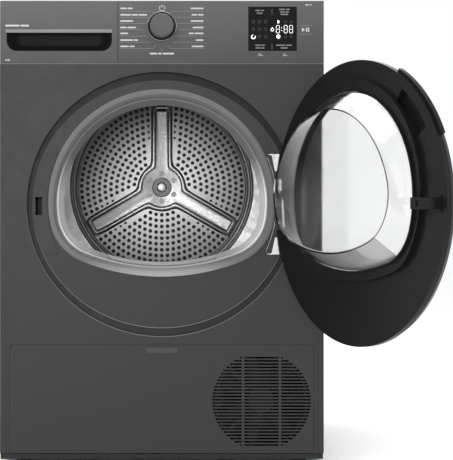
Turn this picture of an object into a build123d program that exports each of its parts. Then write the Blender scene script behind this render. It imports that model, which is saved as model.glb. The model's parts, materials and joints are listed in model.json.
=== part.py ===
from build123d import *
import os
from math import asin, atan2, cos, degrees, hypot, radians, sin, sqrt

# A front-loading tumble dryer with its door open. Millimetres.
# X runs to the right, the front faces -Y, Z is up, and the origin is on the floor
# under the middle of the cabinet.

# ---- driving dimensions -------------------------------------------------------
WIDTH = 597.0           # cabinet, side to side
DEPTH = 568.0           # front panel's face to the back of the rear duct
HEIGHT = 856.0          # floor to the worktop's top
SKIN = 1.2              # painted sheet steel
WALL = 2.5              # moulded plastic walls
GAP = 0.3               # clearance between pieces that move past each other
FIT = 0.05              # radial clearance of pins and shafts in their bores

FOOT_SHOWN = 10.0       # how far the feet stand out under the cabinet
FOOT_R = 13.0
FOOT_STUD_R = 5.0
FOOT_INSET_X = 40.5     # foot's axis in from the cabinet's side
FOOT_INSET_Y = 50.0     # foot's axis in from the front and the back

TRAY_TOP = 30.0         # top of the base tray's walls
TRAY_FLOOR = 16.0
PLINTH_TOP = 20.4
REAR_DUCT = 28.8        # depth of the duct cover behind the back panel

BAND = 116.6            # height of the control panel
BAND_DEPTH = 34.0
DRAWER_WIDTH = 217.1    # front of the water tank, from the left side
BAND_SEAM = 0.6

DRUM_Z = 519.4          # drum's axis
DRUM_R = 286.0          # drum's outer radius
DRUM_FRONT = 74.0       # neck's front edge, behind the front face
DRUM_BACK_GAP = 46.8    # drum's back plate to the back panel
DRUM_SHEET = 1.0
NECK_R = 228.0          # neck's inner radius
DISC_R = 196.0          # opening in the drum's rear wall, filled by the back plate

DOOR_Z = 479.5          # centre of the round door
DOOR_A = 246.0          # half width of the door's rim
DOOR_B = 241.5          # half height of the door's rim
DOOR_OPEN = 118.0       # opening angle as built
DOOR_STAND_OFF = 16.0   # rim's rear face in front of the cabinet, when shut
HINGE_X = 225.2         # hinge axis from the middle of the cabinet
HINGE_OUT = 24.0        # hinge axis in front of the cabinet
HINGE_PIN_R = 4.0
KNUCKLE_R = 7.0

GROOVE_OUT = 2.5        # the groove round the door is this much wider than the door
GROOVE_A = 239.0        # half width inside the groove
GROOVE_B = 228.5
GROOVE_DEEP = 10.0

MOUTH_R = 209.6         # loading ring: upper arc
MOUTH_Z = 482.4
MOUTH_BOTTOM = 346.1
MOUTH_LOW_R = 400.0     # loading ring: lower arc
MOUTH_CORNER = 98.0
RING_BAND = 12.5        # width of the loading ring's front band
THROAT = 36.0           # depth of the loading ring's throat

TUB_TOP = 30.0          # top of the water tank below the worktop's top
TUB_HIGH = 78.0
TUB_LENGTH = 466.0

FLAP_TOP = 220.3
FLAP_SIDE = 18.5        # strip of the front panel beside the flap
FLAP_WALL = 2.5
FLAP_RIM = 8.0
GRILLE_X = 183.7
GRILLE_Z = 116.4
GRILLE_R = 91.0
SLOT_PITCH = 5.96

KNOB_Z = 807.5
KNOB_R = 22.0
KNOB_RING_R = 29.6

FILTER_HALF = 100.0     # lint filter
FILTER_TOP = 366.0
FILTER_HIGH = 150.0
FILTER_FRONT = 38.6
FILTER_THICK = 22.8

MOTOR_X = 40.0
MOTOR_Z = 120.0
MOTOR_R = 60.0
SHAFT_R = 6.0
PULLEY_R = 8.75
BELT_DEPTH = 264.0      # middle of the belt behind the front face
BELT_WIDE = 8.0
BELT_THICK = 2.2
IDLER_R = 15.0

# ---- places worked out from them ----------------------------------------------
SIDE = WIDTH / 2
FRONT = -DEPTH / 2
PANEL_D = DEPTH - REAR_DUCT            # back panel's outer face, as a depth
DISC_D = PANEL_D - SKIN - DRUM_BACK_GAP  # rear face of the drum's rear wall
INSIDE = SIDE - SKIN                   # side panel's inner face
BAND_BOTTOM = HEIGHT - BAND
DRAWER_EDGE = -SIDE + DRAWER_WIDTH
HINGE_Y = FRONT - HINGE_OUT
HINGE_AXIS = Axis((HINGE_X, HINGE_Y, 0), (0, 0, 1))
KNUCKLE_LOW = 35.0                     # hinge knuckles, above and below the middle
KNUCKLE_HIGH = 46.0

# base
TRAY_FRONT = 14.0
FOOT_X = SIDE - FOOT_INSET_X
FOOT_D = [FOOT_INSET_Y, DEPTH - FOOT_INSET_Y]
TRAY_BACK = PANEL_D - SKIN
FLAP_AXIS_D = 3.4
FLAP_AXIS_Z = 26.0
FLAP_PIN_R = 1.9
FLAP_HALF = SIDE - FLAP_SIDE
TENSION_X = 114.0       # tensioner's pivot
TENSION_Z = 62.0
TENSION_D = BELT_DEPTH - 14

# cabinet shell
RETURN = 14.0           # front panel's folded side edge
SLOT_X0 = -233.0
SLOT_X1 = -220.5
SLOT_Z0 = 459.8
SLOT_Z1 = 493.0
COVER_HALF = 92.2       # half height of the latch cover and the hinge bracket
LATCH_X0 = SLOT_X0 - 6
LATCH_X1 = SLOT_X1 + 5
WORKTOP = 20.0          # height of the worktop
WORKTOP_WALL = 3.0
WORKTOP_SHEET = 2.4
WORKTOP_RIBS = [-150.0, 0.0, 150.0]
CASE_TOP = HEIGHT - WORKTOP
SCREW_R = 2.0
SCREW_ROWS = [60.0, 290.0, 560.0, 800.0]
AIR_RING_R = 207.0
DUCT_HALF = 225.0
DUCT_LOW = 96.0
DUCT_HIGH = 742.0
INLET_X = 250.0
INLET_Z = 770.0
INLET_R = 9.0
FAN_X = MOTOR_X

# control panel
WINDOW = (159.2, 248.8, 762.0, 843.7)
BAND_TOP = HEIGHT - 1.0
ENCODER_R = 3.0
BOARD_D = 14.0
BOARD_LOW = 756.0
BOARD_HIGH = 846.0

# water tank
TUB_X0 = -SIDE + 12.5
TUB_X1 = DRAWER_EDGE - 13.6
TUB_HI = HEIGHT - TUB_TOP
TUB_CURVE = DRUM_R + 14     # underside follows the drum
TUB_WALL = 2.0
TANK_EASE = 0.4
FILL_X = -200.0
FILL_D = 440.0
FILL_R = 14.0
LEDGE_Z = 795.4
LEDGE_HIGH = 7.0
POCKET_LOW = 762.0

# loading mouth and front bulkhead
RING_WALL = 2.2
FLANGE_OUT = 2.2        # ring's front face in front of the panel
THROAT_SLOPE = 0.2      # inward run per millimetre of depth
BULK_D = 62.0
BULK_THICK = 3.0
BULK_HALF = 272.0
BULK_LOW = 236.0
NECK_FELT = 3.0
ROLLER_R = 20.0
ROLLER_X = 143.0
ROLLER_D = 76.0
ROLLER_WIDE = 16.0
AXLE_R = 5.0
ROLLER_Z = DRUM_Z - sqrt((NECK_R + DRUM_SHEET + GAP + ROLLER_R) ** 2 - ROLLER_X ** 2)
FLANGE_R = NECK_R - GAP - NECK_FELT
POCKET_FLOOR = FILTER_TOP - FILTER_HIGH - GAP

# lint filter
FILTER_WALL = 2.2

# door (drawn shut, then opened)
DOOR_BACK = DOOR_STAND_OFF          # rim's rear face in front of the cabinet
DOOR_EDGE = DOOR_STAND_OFF + 10
DOOR_FACE = DOOR_STAND_OFF + 28
GLASS_SHRINK = 32.0                 # the front opening is this much inside the rim
SEAM_STEP = 9.0                     # the inner ring steps this far towards the drum
BOWL_DEEP = 54.0                    # bowl's inner end from the rim's rear face
HANDLE = (125, 149)

# drum
HOLE_RING = 60.0
HOLE_STEP = 12.7
HOLE_RINGS = 10
HOLE_PITCH = 12.57
BIG_HOLE_R = 4.15
SMALL_HOLE_R = 2.95
ARM_HALF = 21.3
ARM_CHANNEL = 10.4
ARM_END = 178.0
DISC_EDGE = 212.0
DISC_SHEET = 1.2
LIFTER_HIGH = 48.0
LIFTER_WALL = 2.5
LIFTER_FRONT = 112.0
LIFTER_BACK_GAP = 12.0      # lifter's end to the drum's rear wall
NECK_BACK = 95.0
CONE_BACK = 100.0
SHAFT_FRONT = DISC_D + DISC_SHEET
BEARING_R = 12.0

# belt drive
MOTOR_D0 = 279.0
MOTOR_D1 = 414.0
MOTOR_WALL = 4.0
STATOR_R = 44.0
IMPELLER_D0 = 459.0
IMPELLER_D1 = 495.0
IMPELLER_R = 70.0

# heat pump
HX0 = -SIDE + 56.5
HX1 = -78.0
HX_FRONT = 30.0
HX_BACK = 314.0
HX_TOP = 205.0
COVER_LOW = 34.0
LEVER_Z = 118.0
COMPRESSOR_X = 183.0
COMPRESSOR_D = 144.0
COMPRESSOR_R = 62.0
COMPRESSOR_TOP = 185.0
COMPRESSOR_WALL = 4.0
PUMP_CORE_R = 44.0
PUMP_CORE_TOP = 120.0
MOUNT_HIGH = 34.0
DUCT_X0 = -190.0
DUCT_X1 = -80.0
DUCT_Z0 = 72.0
DUCT_Z1 = 168.0
PUMP_X = -SIDE + 80.5
HOSE_X = -SIDE + 58.5
HOSE_D = PANEL_D - SKIN - 18

# cooling fan
SHROUD_R = 86.0
SHROUD_D0 = 10.0
SHROUD_D1 = 34.0

# kick flap
TAB_HALF = 29.0
TAB_LOW = 204.8
TAB_HIGH = 215.7


# ---- helpers ------------------------------------------------------------------
def block(x0, x1, d0, d1, z0, z1):
    """Box between two side positions, two depths behind the front face and two heights."""
    middle = Pos((x0 + x1) / 2, FRONT + (d0 + d1) / 2, (z0 + z1) / 2)
    return middle * Box(x1 - x0, d1 - d0, z1 - z0)


def slab(face, d0, d1):
    """Front-view outline (x, z) made solid between two depths."""
    return extrude(Plane.XZ.offset(-(FRONT + d1)) * face, d1 - d0)


def disc(x, z, r, d0, d1):
    """Cylinder whose axis runs front to back."""
    return slab(Pos(x, z) * Circle(r), d0, d1)


def post(x, d, r, z0, z1):
    """Upright cylinder."""
    return Pos(x, FRONT + d, (z0 + z1) / 2) * Cylinder(r, z1 - z0)


def bar(x0, x1, d, z, r):
    """Cylinder that runs from side to side."""
    return Pos((x0 + x1) / 2, FRONT + d, z) * Rot(0, 90, 0) * Cylinder(r, x1 - x0)


def turned(points, x=0.0, z=DRUM_Z):
    """Solid of revolution about a front-to-back axis, from (depth, radius) points."""
    plane = Plane(origin=(x, FRONT, z), x_dir=(0, 1, 0), z_dir=(1, 0, 0))
    face = plane * make_face(Polyline(*points, close=True))
    return revolve(face, Axis((x, 0, z), (0, 1, 0)), 360)


def oval(a, b, z=DOOR_Z):
    """Upright ellipse in the front view."""
    return Pos(0, z) * Ellipse(a, b)


def rounded_arch(r, z, bottom, low_r, corner):
    """Round opening with a flatter lower arc and a corner arc tangent to both on each side."""
    low_z = bottom + low_r
    spread = (low_r - corner) ** 2 - (r - corner) ** 2
    corner_z = (low_z ** 2 - z ** 2 - spread) / (2 * (low_z - z))
    corner_x = sqrt((r - corner) ** 2 - (corner_z - z) ** 2)
    upper = atan2(corner_z - z, corner_x)
    lower = atan2(corner_z - low_z, corner_x)
    middle = (upper + lower) / 2
    upper_end = (r * cos(upper), z + r * sin(upper))
    lower_end = (low_r * cos(lower), low_z + low_r * sin(lower))
    corner_mid = (corner_x + corner * cos(middle), corner_z + corner * sin(middle))

    def left(point):
        return (-point[0], point[1])

    edges = [ThreePointArc(upper_end, (0, z + r), left(upper_end)),
             ThreePointArc(left(upper_end), left(corner_mid), left(lower_end)),
             ThreePointArc(left(lower_end), (0, bottom), lower_end),
             ThreePointArc(lower_end, corner_mid, upper_end)]
    return make_face(edges)


def mouth(inset):
    """Outline of the loading ring, moved inward."""
    return rounded_arch(MOUTH_R - inset, MOUTH_Z, MOUTH_BOTTOM + inset,
                        MOUTH_LOW_R - inset, MOUTH_CORNER - inset)


def at_depth(face, d):
    """Front-view outline placed at a depth."""
    return Plane.XZ.offset(-(FRONT + d)) * face


def tapered(face0, d0, face1, d1):
    """Solid between two outlines at two depths."""
    return loft([at_depth(face0, d0), at_depth(face1, d1)])


def opened(shape):
    """A door piece turned from shut to the angle at which it is built."""
    return shape.rotate(HINGE_AXIS, DOOR_OPEN)


def save(node, shape):
    """Write one sub-part."""
    shape.label = node
    export_step(shape, f"parts/{node}.step")


def joined(pieces):
    """Several separate solids in one sub-part."""
    solids = []
    for piece in pieces:
        solids.extend(piece.solids())
    return Compound(children=solids)


# ---- base ---------------------------------------------------------------------


def base_tray():
    outer = block(-INSIDE, INSIDE, TRAY_FRONT, TRAY_BACK, FOOT_SHOWN + 2, TRAY_TOP)
    inner = block(-INSIDE + 3, INSIDE - 3, TRAY_FRONT + 3, TRAY_BACK - 3, TRAY_FLOOR, TRAY_TOP)
    tray = outer - inner
    tray += block(-INSIDE, INSIDE, SKIN + 0.8, TRAY_FRONT, FOOT_SHOWN, PLINTH_TOP - 0.8)
    for side in (-1, 1):
        for d in FOOT_D:
            tray += post(side * FOOT_X, d, 11, FOOT_SHOWN + 2, TRAY_TOP)
            tray -= post(side * FOOT_X, d, FOOT_STUD_R + FIT, FOOT_SHOWN, TRAY_TOP)
        lug = sorted([side * (FLAP_HALF + 0.6), side * (FLAP_HALF + 7)])
        tray += block(lug[0], lug[1], SKIN + 0.8, TRAY_FRONT, PLINTH_TOP - 0.8, FLAP_AXIS_Z + 7)
        tray -= bar(lug[0] - 1, lug[1] + 1, FLAP_AXIS_D, FLAP_AXIS_Z, FLAP_PIN_R + FIT)
    bracket = block(TENSION_X - 8, TENSION_X + 8, TENSION_D, TENSION_D + 5, TRAY_FLOOR, TENSION_Z + 8)
    tray += bracket
    tray -= disc(TENSION_X, TENSION_Z, 4 + FIT, TENSION_D, TENSION_D + 5)
    for x, d in compressor_feet():
        tray += post(x, d, 10, TRAY_FLOOR, MOUNT_HIGH)
    return tray


def feet():
    pieces = []
    for side in (-1, 1):
        for d in FOOT_D:
            foot = post(side * FOOT_X, d, FOOT_R, 0, FOOT_SHOWN - 3)
            foot += post(side * FOOT_X, d, FOOT_R - 4, FOOT_SHOWN - 3, FOOT_SHOWN + 2)
            foot += post(side * FOOT_X, d, FOOT_STUD_R, FOOT_SHOWN + 2, TRAY_TOP - 2)
            pieces.append(foot)
    return joined(pieces)


# ---- cabinet shell ------------------------------------------------------------


def front_panel():
    sheet = Rectangle(WIDTH, BAND_BOTTOM - PLINTH_TOP - BAND_SEAM)
    sheet = Pos(0, (BAND_BOTTOM + PLINTH_TOP) / 2) * sheet
    groove = oval(DOOR_A + GROOVE_OUT, DOOR_B + GROOVE_OUT)
    island = oval(GROOVE_A, GROOVE_B)
    panel = slab(sheet - groove, 0, SKIN)
    wall_out = oval(DOOR_A + GROOVE_OUT + SKIN, DOOR_B + GROOVE_OUT + SKIN)
    panel += slab(wall_out - groove, 0, GROOVE_DEEP + SKIN)
    panel += slab(wall_out - oval(GROOVE_A - SKIN, GROOVE_B - SKIN), GROOVE_DEEP, GROOVE_DEEP + SKIN)
    panel += slab(island - oval(GROOVE_A - SKIN, GROOVE_B - SKIN), 0, GROOVE_DEEP + SKIN)
    panel += slab(island - mouth(RING_BAND - 4), 0, SKIN)
    for side in (-1, 1):
        edge = sorted([side * INSIDE, side * SIDE])
        panel += block(edge[0], edge[1], 0, RETURN, PLINTH_TOP + BAND_SEAM / 2, BAND_BOTTOM - BAND_SEAM / 2)
    half = FLAP_HALF + 0.5
    corner = fillet((Pos(0, 0) * Rectangle(2 * half, 2 * (FLAP_TOP + 0.5))).vertices(), 9)
    panel -= slab(corner, -1, RETURN + 1)
    panel -= block(LATCH_X0, LATCH_X1, -1, GROOVE_DEEP + 3, SLOT_Z0 - 6, SLOT_Z1 + 6)
    return panel


def side_panel(side):
    def strip(x0, x1, d0, d1, z0, z1):
        edge = sorted([side * x0, side * x1])
        return block(edge[0], edge[1], d0, d1, z0, z1)

    top = HEIGHT - WORKTOP
    panel = strip(INSIDE, SIDE, RETURN + GAP, PANEL_D - SKIN, FOOT_SHOWN + 0.8, top)
    panel += strip(INSIDE - SKIN, INSIDE, 2.2, RETURN + 12, TRAY_TOP + 4, BAND_BOTTOM - 12)
    panel += strip(INSIDE - 18, INSIDE, TRAY_FRONT + 10, TRAY_BACK - 10, FOOT_SHOWN + 0.8, FOOT_SHOWN + 2)
    panel += strip(INSIDE - 18, INSIDE, PANEL_D - 2 * SKIN, PANEL_D - SKIN, TRAY_TOP, top)
    panel += strip(INSIDE - 3.6, INSIDE, BAND_DEPTH + 6, PANEL_D - SKIN, top - SKIN, top)
    panel -= strip(INSIDE - 4, SIDE + 1, 0, BAND_DEPTH + 0.6, BAND_BOTTOM - 0.4, top + 1)
    return panel


def screw_places():
    places = []
    for side in (-1, 1):
        for z in SCREW_ROWS:
            places.append((side * (INSIDE - 9), z))
    return places


def back_panel():
    panel = block(-INSIDE, INSIDE, PANEL_D - SKIN, PANEL_D, FOOT_SHOWN + 2, CASE_TOP)
    panel -= disc(0, DRUM_Z, 30 + FIT, PANEL_D - SKIN, PANEL_D)
    for turn in range(6):
        arc = (Circle(180) - Circle(80)) & (Rot(0, 0, 60 * turn) * Pos(130, 0) * Rectangle(120, 60))
        panel -= slab(Pos(0, DRUM_Z) * arc, PANEL_D - SKIN, PANEL_D)
    panel -= block(FAN_X - 30, FAN_X + 30, PANEL_D - SKIN, PANEL_D, MOTOR_Z + 10, MOTOR_Z + 60)
    for x, z in screw_places():
        panel -= disc(x, z, SCREW_R, PANEL_D - SKIN, PANEL_D)
    panel -= disc(INLET_X, INLET_Z, INLET_R, PANEL_D - SKIN, PANEL_D)
    front = SHAFT_FRONT + 5
    back = PANEL_D - SKIN
    hollow = AIR_RING_R - 4
    ring = turned([(front, hollow), (front, AIR_RING_R), (back, AIR_RING_R), (back, hollow)])
    return joined([panel, ring])


def cabinet_screws():
    pieces = []
    for x, z in screw_places():
        screw = disc(x, z, SCREW_R, PANEL_D - SKIN, PANEL_D)
        screw += disc(x, z, 4.2, PANEL_D, PANEL_D + 2.4)
        screw -= slab(Pos(x, z) * Rectangle(5.6, 1.1), PANEL_D + 1.2, PANEL_D + 2.4)
        screw -= slab(Pos(x, z) * Rectangle(1.1, 5.6), PANEL_D + 1.2, PANEL_D + 2.4)
        pieces.append(screw)
    return joined(pieces)


def rear_duct_cover():
    def outline(inset):
        middle = (DUCT_LOW + DUCT_HIGH) / 2
        shape = Rectangle(2 * (DUCT_HALF - inset), DUCT_HIGH - DUCT_LOW - 2 * inset)
        return Pos(0, middle) * fillet(shape.vertices(), 60 - inset)

    cover = slab(outline(0), PANEL_D, DEPTH) - slab(outline(WALL), PANEL_D, DEPTH - WALL)
    cover += slab(outline(-9) - outline(0), PANEL_D, PANEL_D + 2)
    for step in range(5):
        z = DUCT_LOW + 90 + 115 * step
        cover -= block(-150, 150, DEPTH - 0.8, DEPTH, z, z + 14)
    return cover


def mains_inlet():
    gland = disc(INLET_X, INLET_Z, INLET_R, PANEL_D - SKIN, PANEL_D)
    gland += disc(INLET_X, INLET_Z, INLET_R + 4, PANEL_D, PANEL_D + 3)
    gland += disc(INLET_X, INLET_Z, INLET_R - 1, PANEL_D + 3, PANEL_D + 14)
    gland += disc(INLET_X, INLET_Z, INLET_R - 1, PANEL_D - SKIN - 16, PANEL_D - SKIN)
    gland -= disc(INLET_X, INLET_Z, 4.2, PANEL_D - 20, PANEL_D + 15)
    return gland


def worktop():
    front = BAND_DEPTH + 0.6
    outline = Pos(0, FRONT + (front + PANEL_D) / 2) * Rectangle(WIDTH, PANEL_D - front)
    corners = outline.vertices().sort_by(Axis.Y)[-2:]
    outline = fillet(corners, 10)
    top = extrude(Pos(0, 0, CASE_TOP) * outline, WORKTOP)
    top = fillet(top.faces().sort_by(Axis.Z)[-1].edges().sort_by(Axis.Y)[1:], 2)
    inner = SIDE - WORKTOP_WALL
    roof = HEIGHT - WORKTOP_SHEET
    top -= block(-inner, inner, front + WORKTOP_WALL, PANEL_D - WORKTOP_WALL, CASE_TOP, roof)
    for x in WORKTOP_RIBS:
        top += block(x - 1, x + 1, front + 1, PANEL_D - 1, CASE_TOP + 6, roof + 0.5)
    return top


# ---- control panel ------------------------------------------------------------


def control_panel():
    left = DRAWER_EDGE + 0.3
    low = BAND_BOTTOM + BAND_SEAM / 2
    shell = block(left, SIDE, 0, BAND_DEPTH, low, BAND_TOP)
    front_edges = shell.edges().filter_by(Axis.X).group_by(Axis.Y)[0]
    shell = fillet(front_edges.sort_by(Axis.Z)[-1], 3)
    shell -= block(left + WALL, SIDE - WALL, 3, BAND_DEPTH, low + WALL, BAND_TOP - WALL)
    x0, x1, z0, z1 = WINDOW
    shell -= block(x0, x1, 0, 2.2, z0, z1)
    shell -= block(x0 + 6, x1 - 6, 2.2, 3, z0 + 6, z1 - 6)
    shell -= disc(0, KNOB_Z, 6, 0, 3)
    for x in (-50, 60, 280):
        for z in (BOARD_LOW + 6, BOARD_HIGH - 6):
            shell += disc(x, z, 3, 3, BOARD_D)
    return shell


def display_window():
    x0, x1, z0, z1 = WINDOW
    return block(x0, x1, 0.1, 2.2, z0, z1)


def control_board():
    board = block(-60, 290, BOARD_D, BOARD_D + 1.6, BOARD_LOW, BOARD_HIGH)
    board += block(-13, 13, BOARD_D - 6, BOARD_D, KNOB_Z - 13, KNOB_Z + 13)
    x0, x1, z0, z1 = WINDOW
    board += block(x0 + 8, x1 - 8, 4, BOARD_D, z0 + 8, z1 - 8)
    board += block(80, 120, BOARD_D + 1.6, BOARD_D + 14, 780, 820)
    board += block(200, 230, BOARD_D + 1.6, BOARD_D + 10, 775, 800)
    for x in (140, 165):
        board += disc(x, 800, 8, BOARD_D + 1.6, BOARD_D + 17)
    board -= disc(0, KNOB_Z, ENCODER_R + FIT, BOARD_D - 7, BOARD_D + 2)
    return board


def program_knob():
    knob = turned([(-17, 0), (-17, KNOB_R - 2), (-15, KNOB_R), (-1, KNOB_R), (-1, 5.5),
                   (2, 5.5), (2, ENCODER_R), (BOARD_D + 1, ENCODER_R), (BOARD_D + 1, 0)], z=KNOB_Z)
    knob -= slab(Pos(0, KNOB_Z + KNOB_R - 5) * Rectangle(2.4, 7), -18, -16.2)
    return knob


def knob_ring():
    return turned([(-10, KNOB_R), (-10, KNOB_R + 2), (-3.5, KNOB_RING_R), (-0.6, KNOB_RING_R),
                   (-0.6, KNOB_R)], z=KNOB_Z)


# ---- water tank ---------------------------------------------------------------


def tub_outline(grow):
    high = TUB_HIGH + 2 * grow
    width = TUB_X1 - TUB_X0 + 2 * grow
    middle = ((TUB_X0 + TUB_X1) / 2, TUB_HI - TUB_HIGH / 2)
    return Pos(*middle) * Rectangle(width, high) - Pos(0, DRUM_Z) * Circle(TUB_CURVE - grow)


def tank_tub():
    lid = TUB_HI - TUB_WALL
    tub = slab(tub_outline(0), BAND_DEPTH, BAND_DEPTH + TUB_LENGTH)
    tub -= slab(tub_outline(-TUB_WALL), BAND_DEPTH + TUB_WALL, BAND_DEPTH + TUB_LENGTH - TUB_WALL)
    tub -= block(TUB_X0, TUB_X1, BAND_DEPTH - 1, BAND_DEPTH + TUB_LENGTH + 1, lid, TUB_HI)
    return tub


def tank_lid():
    lid = block(TUB_X0, TUB_X1, BAND_DEPTH, BAND_DEPTH + TUB_LENGTH, TUB_HI - TUB_WALL, TUB_HI)
    lid -= post(FILL_X, FILL_D, FILL_R, TUB_HI - 10, TUB_HI + 10)
    return lid


def tank_front():
    x0 = -SIDE + 0.3
    x1 = DRAWER_EDGE - 0.3
    low = BAND_BOTTOM + BAND_SEAM / 2
    front = block(x0, x1, 0, BAND_DEPTH, low, BAND_TOP)
    front_edges = front.edges().filter_by(Axis.X).group_by(Axis.Y)[0]
    front = fillet(front_edges.sort_by(Axis.Z)[-1], 3)
    p0 = -SIDE + 12.5
    p1 = DRAWER_EDGE - 10.6
    pocket = Pos((p0 + p1) / 2, (POCKET_LOW + LEDGE_Z) / 2) * Rectangle(p1 - p0, LEDGE_Z - POCKET_LOW)
    pocket = fillet(pocket.vertices().sort_by(Axis.Y)[:2], 19)
    front -= slab(pocket, 0, 25)
    front -= block(p0 + 18, p1 - 18, 7, 25, LEDGE_Z - 1, LEDGE_Z + 15)
    ledge = block(p0 - 2, p1 + 0.6, -1, 7, LEDGE_Z, LEDGE_Z + LEDGE_HIGH)
    front -= ledge
    front -= block(x0 + WALL, x1 - WALL, 3, BAND_DEPTH - 3, LEDGE_Z + 18, BAND_TOP - WALL)
    front -= block(x0 + WALL, x1 - WALL, 3, BAND_DEPTH - 3, low + WALL, POCKET_LOW - 3)
    return joined([front, ledge])


def tank_housing():
    d0 = BAND_DEPTH + 2
    d1 = BAND_DEPTH + TUB_LENGTH + 4
    outer = tub_outline(TANK_EASE + TUB_WALL)
    housing = slab(outer - tub_outline(TANK_EASE), d0, d1 - TUB_WALL)
    housing += slab(outer, d1 - TUB_WALL, d1)
    rail = TUB_X0 - TANK_EASE - TUB_WALL
    for z in (TUB_HI - 60, TUB_HI - 20):
        housing += block(-INSIDE, rail + 0.5, d0 + 30, d1 - 20, z, z + 3)
    return housing


# ---- loading mouth and front bulkhead -----------------------------------------


def throat_inset(d):
    return RING_BAND + THROAT_SLOPE * d


def throat(d0, d1, wall=0.0):
    """Tapering throat between two depths, a wall's thickness outside its opening."""
    return tapered(mouth(throat_inset(d0) - wall), d0, mouth(throat_inset(d1) - wall), d1)


def loading_ring():
    ring = slab(mouth(0) - mouth(RING_BAND - RING_WALL), -FLANGE_OUT, 0)
    ring += throat(-FLANGE_OUT, THROAT, RING_WALL)
    ring -= throat(-FLANGE_OUT, THROAT)
    return ring


def front_bulkhead():
    high = BAND_BOTTOM - 1.4
    plate = Pos(0, (BULK_LOW + high) / 2) * Rectangle(2 * BULK_HALF, high - BULK_LOW)
    plate = fillet(plate.vertices(), 40)
    bulk = slab(plate, BULK_D, BULK_D + BULK_THICK)
    bulk += throat(THROAT, BULK_D, RING_WALL)
    half = FILTER_HALF + 0.4 + RING_WALL
    front = FILTER_FRONT - 0.4 - 2.0
    back = BULK_D + 1
    bulk += block(-half, half, front, back, POCKET_FLOOR - 4, FILTER_TOP + 30)
    bulk += block(-half, HX1 - 1, front, back, HX_TOP, POCKET_FLOOR - 4)
    bulk -= throat(THROAT, BULK_D + BULK_THICK)
    inner = FILTER_HALF + 0.4
    bulk -= block(-inner, inner, FILTER_FRONT - 0.4, FILTER_FRONT + FILTER_THICK + 0.4,
                  POCKET_FLOOR, FILTER_TOP + 60)
    bulk -= block(-inner, HX1 - 4, front + 3, back - 3, HX_TOP, POCKET_FLOOR)
    bulk += turned([(BULK_D + BULK_THICK, FLANGE_R - 2.7), (BULK_D + BULK_THICK, FLANGE_R),
                    (88, FLANGE_R), (88, FLANGE_R - 2.7)])
    for side in (-1, 1):
        bulk += disc(side * ROLLER_X, ROLLER_Z, AXLE_R + 4, BULK_D + BULK_THICK, ROLLER_D - GAP)
        bulk += disc(side * ROLLER_X, ROLLER_Z, AXLE_R, ROLLER_D - GAP, ROLLER_D + ROLLER_WIDE + 1)
        arm = sorted([side * (BULK_HALF - 1), side * (INSIDE - SKIN)])
        for z in (300, 650):
            bulk += block(arm[0], arm[1], BULK_D, BULK_D + BULK_THICK, z, z + 60)
            lip = sorted([side * (INSIDE - 2.4), side * INSIDE])
            bulk += block(lip[0], lip[1], RETURN + 12.4, BULK_D + BULK_THICK, z, z + 60)
    return bulk


def roller(side):
    wheel = disc(side * ROLLER_X, ROLLER_Z, ROLLER_R, ROLLER_D, ROLLER_D + ROLLER_WIDE)
    wheel -= disc(side * ROLLER_X, ROLLER_Z, AXLE_R + FIT, ROLLER_D, ROLLER_D + ROLLER_WIDE)
    rim = Circle(ROLLER_R - 4) - Circle(AXLE_R + 4)
    wheel -= slab(Pos(side * ROLLER_X, ROLLER_Z) * rim, ROLLER_D, ROLLER_D + 3)
    return wheel


def crescent(side, rim):
    """Cover between the loading ring and the groove, on one side."""
    face = oval(GROOVE_A - rim, GROOVE_B - rim) - Pos(0, MOUTH_Z) * Circle(MOUTH_R + 1.5)
    window = Pos(side * 225, DOOR_Z) * Rectangle(130, 2 * COVER_HALF)
    face = face & window
    return fillet(face.vertices(), 5)


def latch_cover():
    """Cover plate and the latch's case behind it, in one moulding."""
    cover = slab(crescent(-1, 2), -1.5, 0)
    cover += block(LATCH_X0 + 0.5, LATCH_X1 - 0.5, -0.5, 46, SLOT_Z0 - 5.5, SLOT_Z1 + 5.5)
    cover += block(LATCH_X0 + 2, LATCH_X1 - 4, 20, 40, SLOT_Z1 + 5, SLOT_Z1 + 22)
    cover -= block(SLOT_X0, SLOT_X1, -2, 43, SLOT_Z0, SLOT_Z1)
    return cover


def hinge_plate():
    bracket = slab(crescent(1, 2), -1.0, 0)
    for side in (-1, 1):
        z0 = DOOR_Z + side * 61
        z1 = DOOR_Z + side * COVER_HALF
        outline = Polyline((208, z0), (213, z0), (217, z1), (201.5, z1), close=True)
        bracket += slab(make_face(outline), -7, -0.5)
        low, high = sorted([DOOR_Z + side * KNUCKLE_LOW, DOOR_Z + side * KNUCKLE_HIGH])
        bracket += block(HINGE_X - 6, HINGE_X + 6, -HINGE_OUT, -0.5, low, high)
        bracket += post(HINGE_X, -HINGE_OUT, KNUCKLE_R, low, high)
        bracket -= post(HINGE_X, -HINGE_OUT, HINGE_PIN_R, low, high)
    return bracket


def hinge_bracket():
    """The plate with its knuckles, and its two fixed pins as separate solids."""
    pieces = [hinge_plate()]
    for side in (-1, 1):
        low, high = sorted([DOOR_Z + side * 20, DOOR_Z + side * KNUCKLE_HIGH])
        pieces.append(post(HINGE_X, -HINGE_OUT, HINGE_PIN_R, low, high))
    return joined(pieces)


# ---- lint filter --------------------------------------------------------------


def filter_box(inset):
    return block(-FILTER_HALF + inset, FILTER_HALF - inset, FILTER_FRONT + inset,
                 FILTER_FRONT + FILTER_THICK - inset, FILTER_TOP - FILTER_HIGH + inset, FILTER_TOP - inset)


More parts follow.
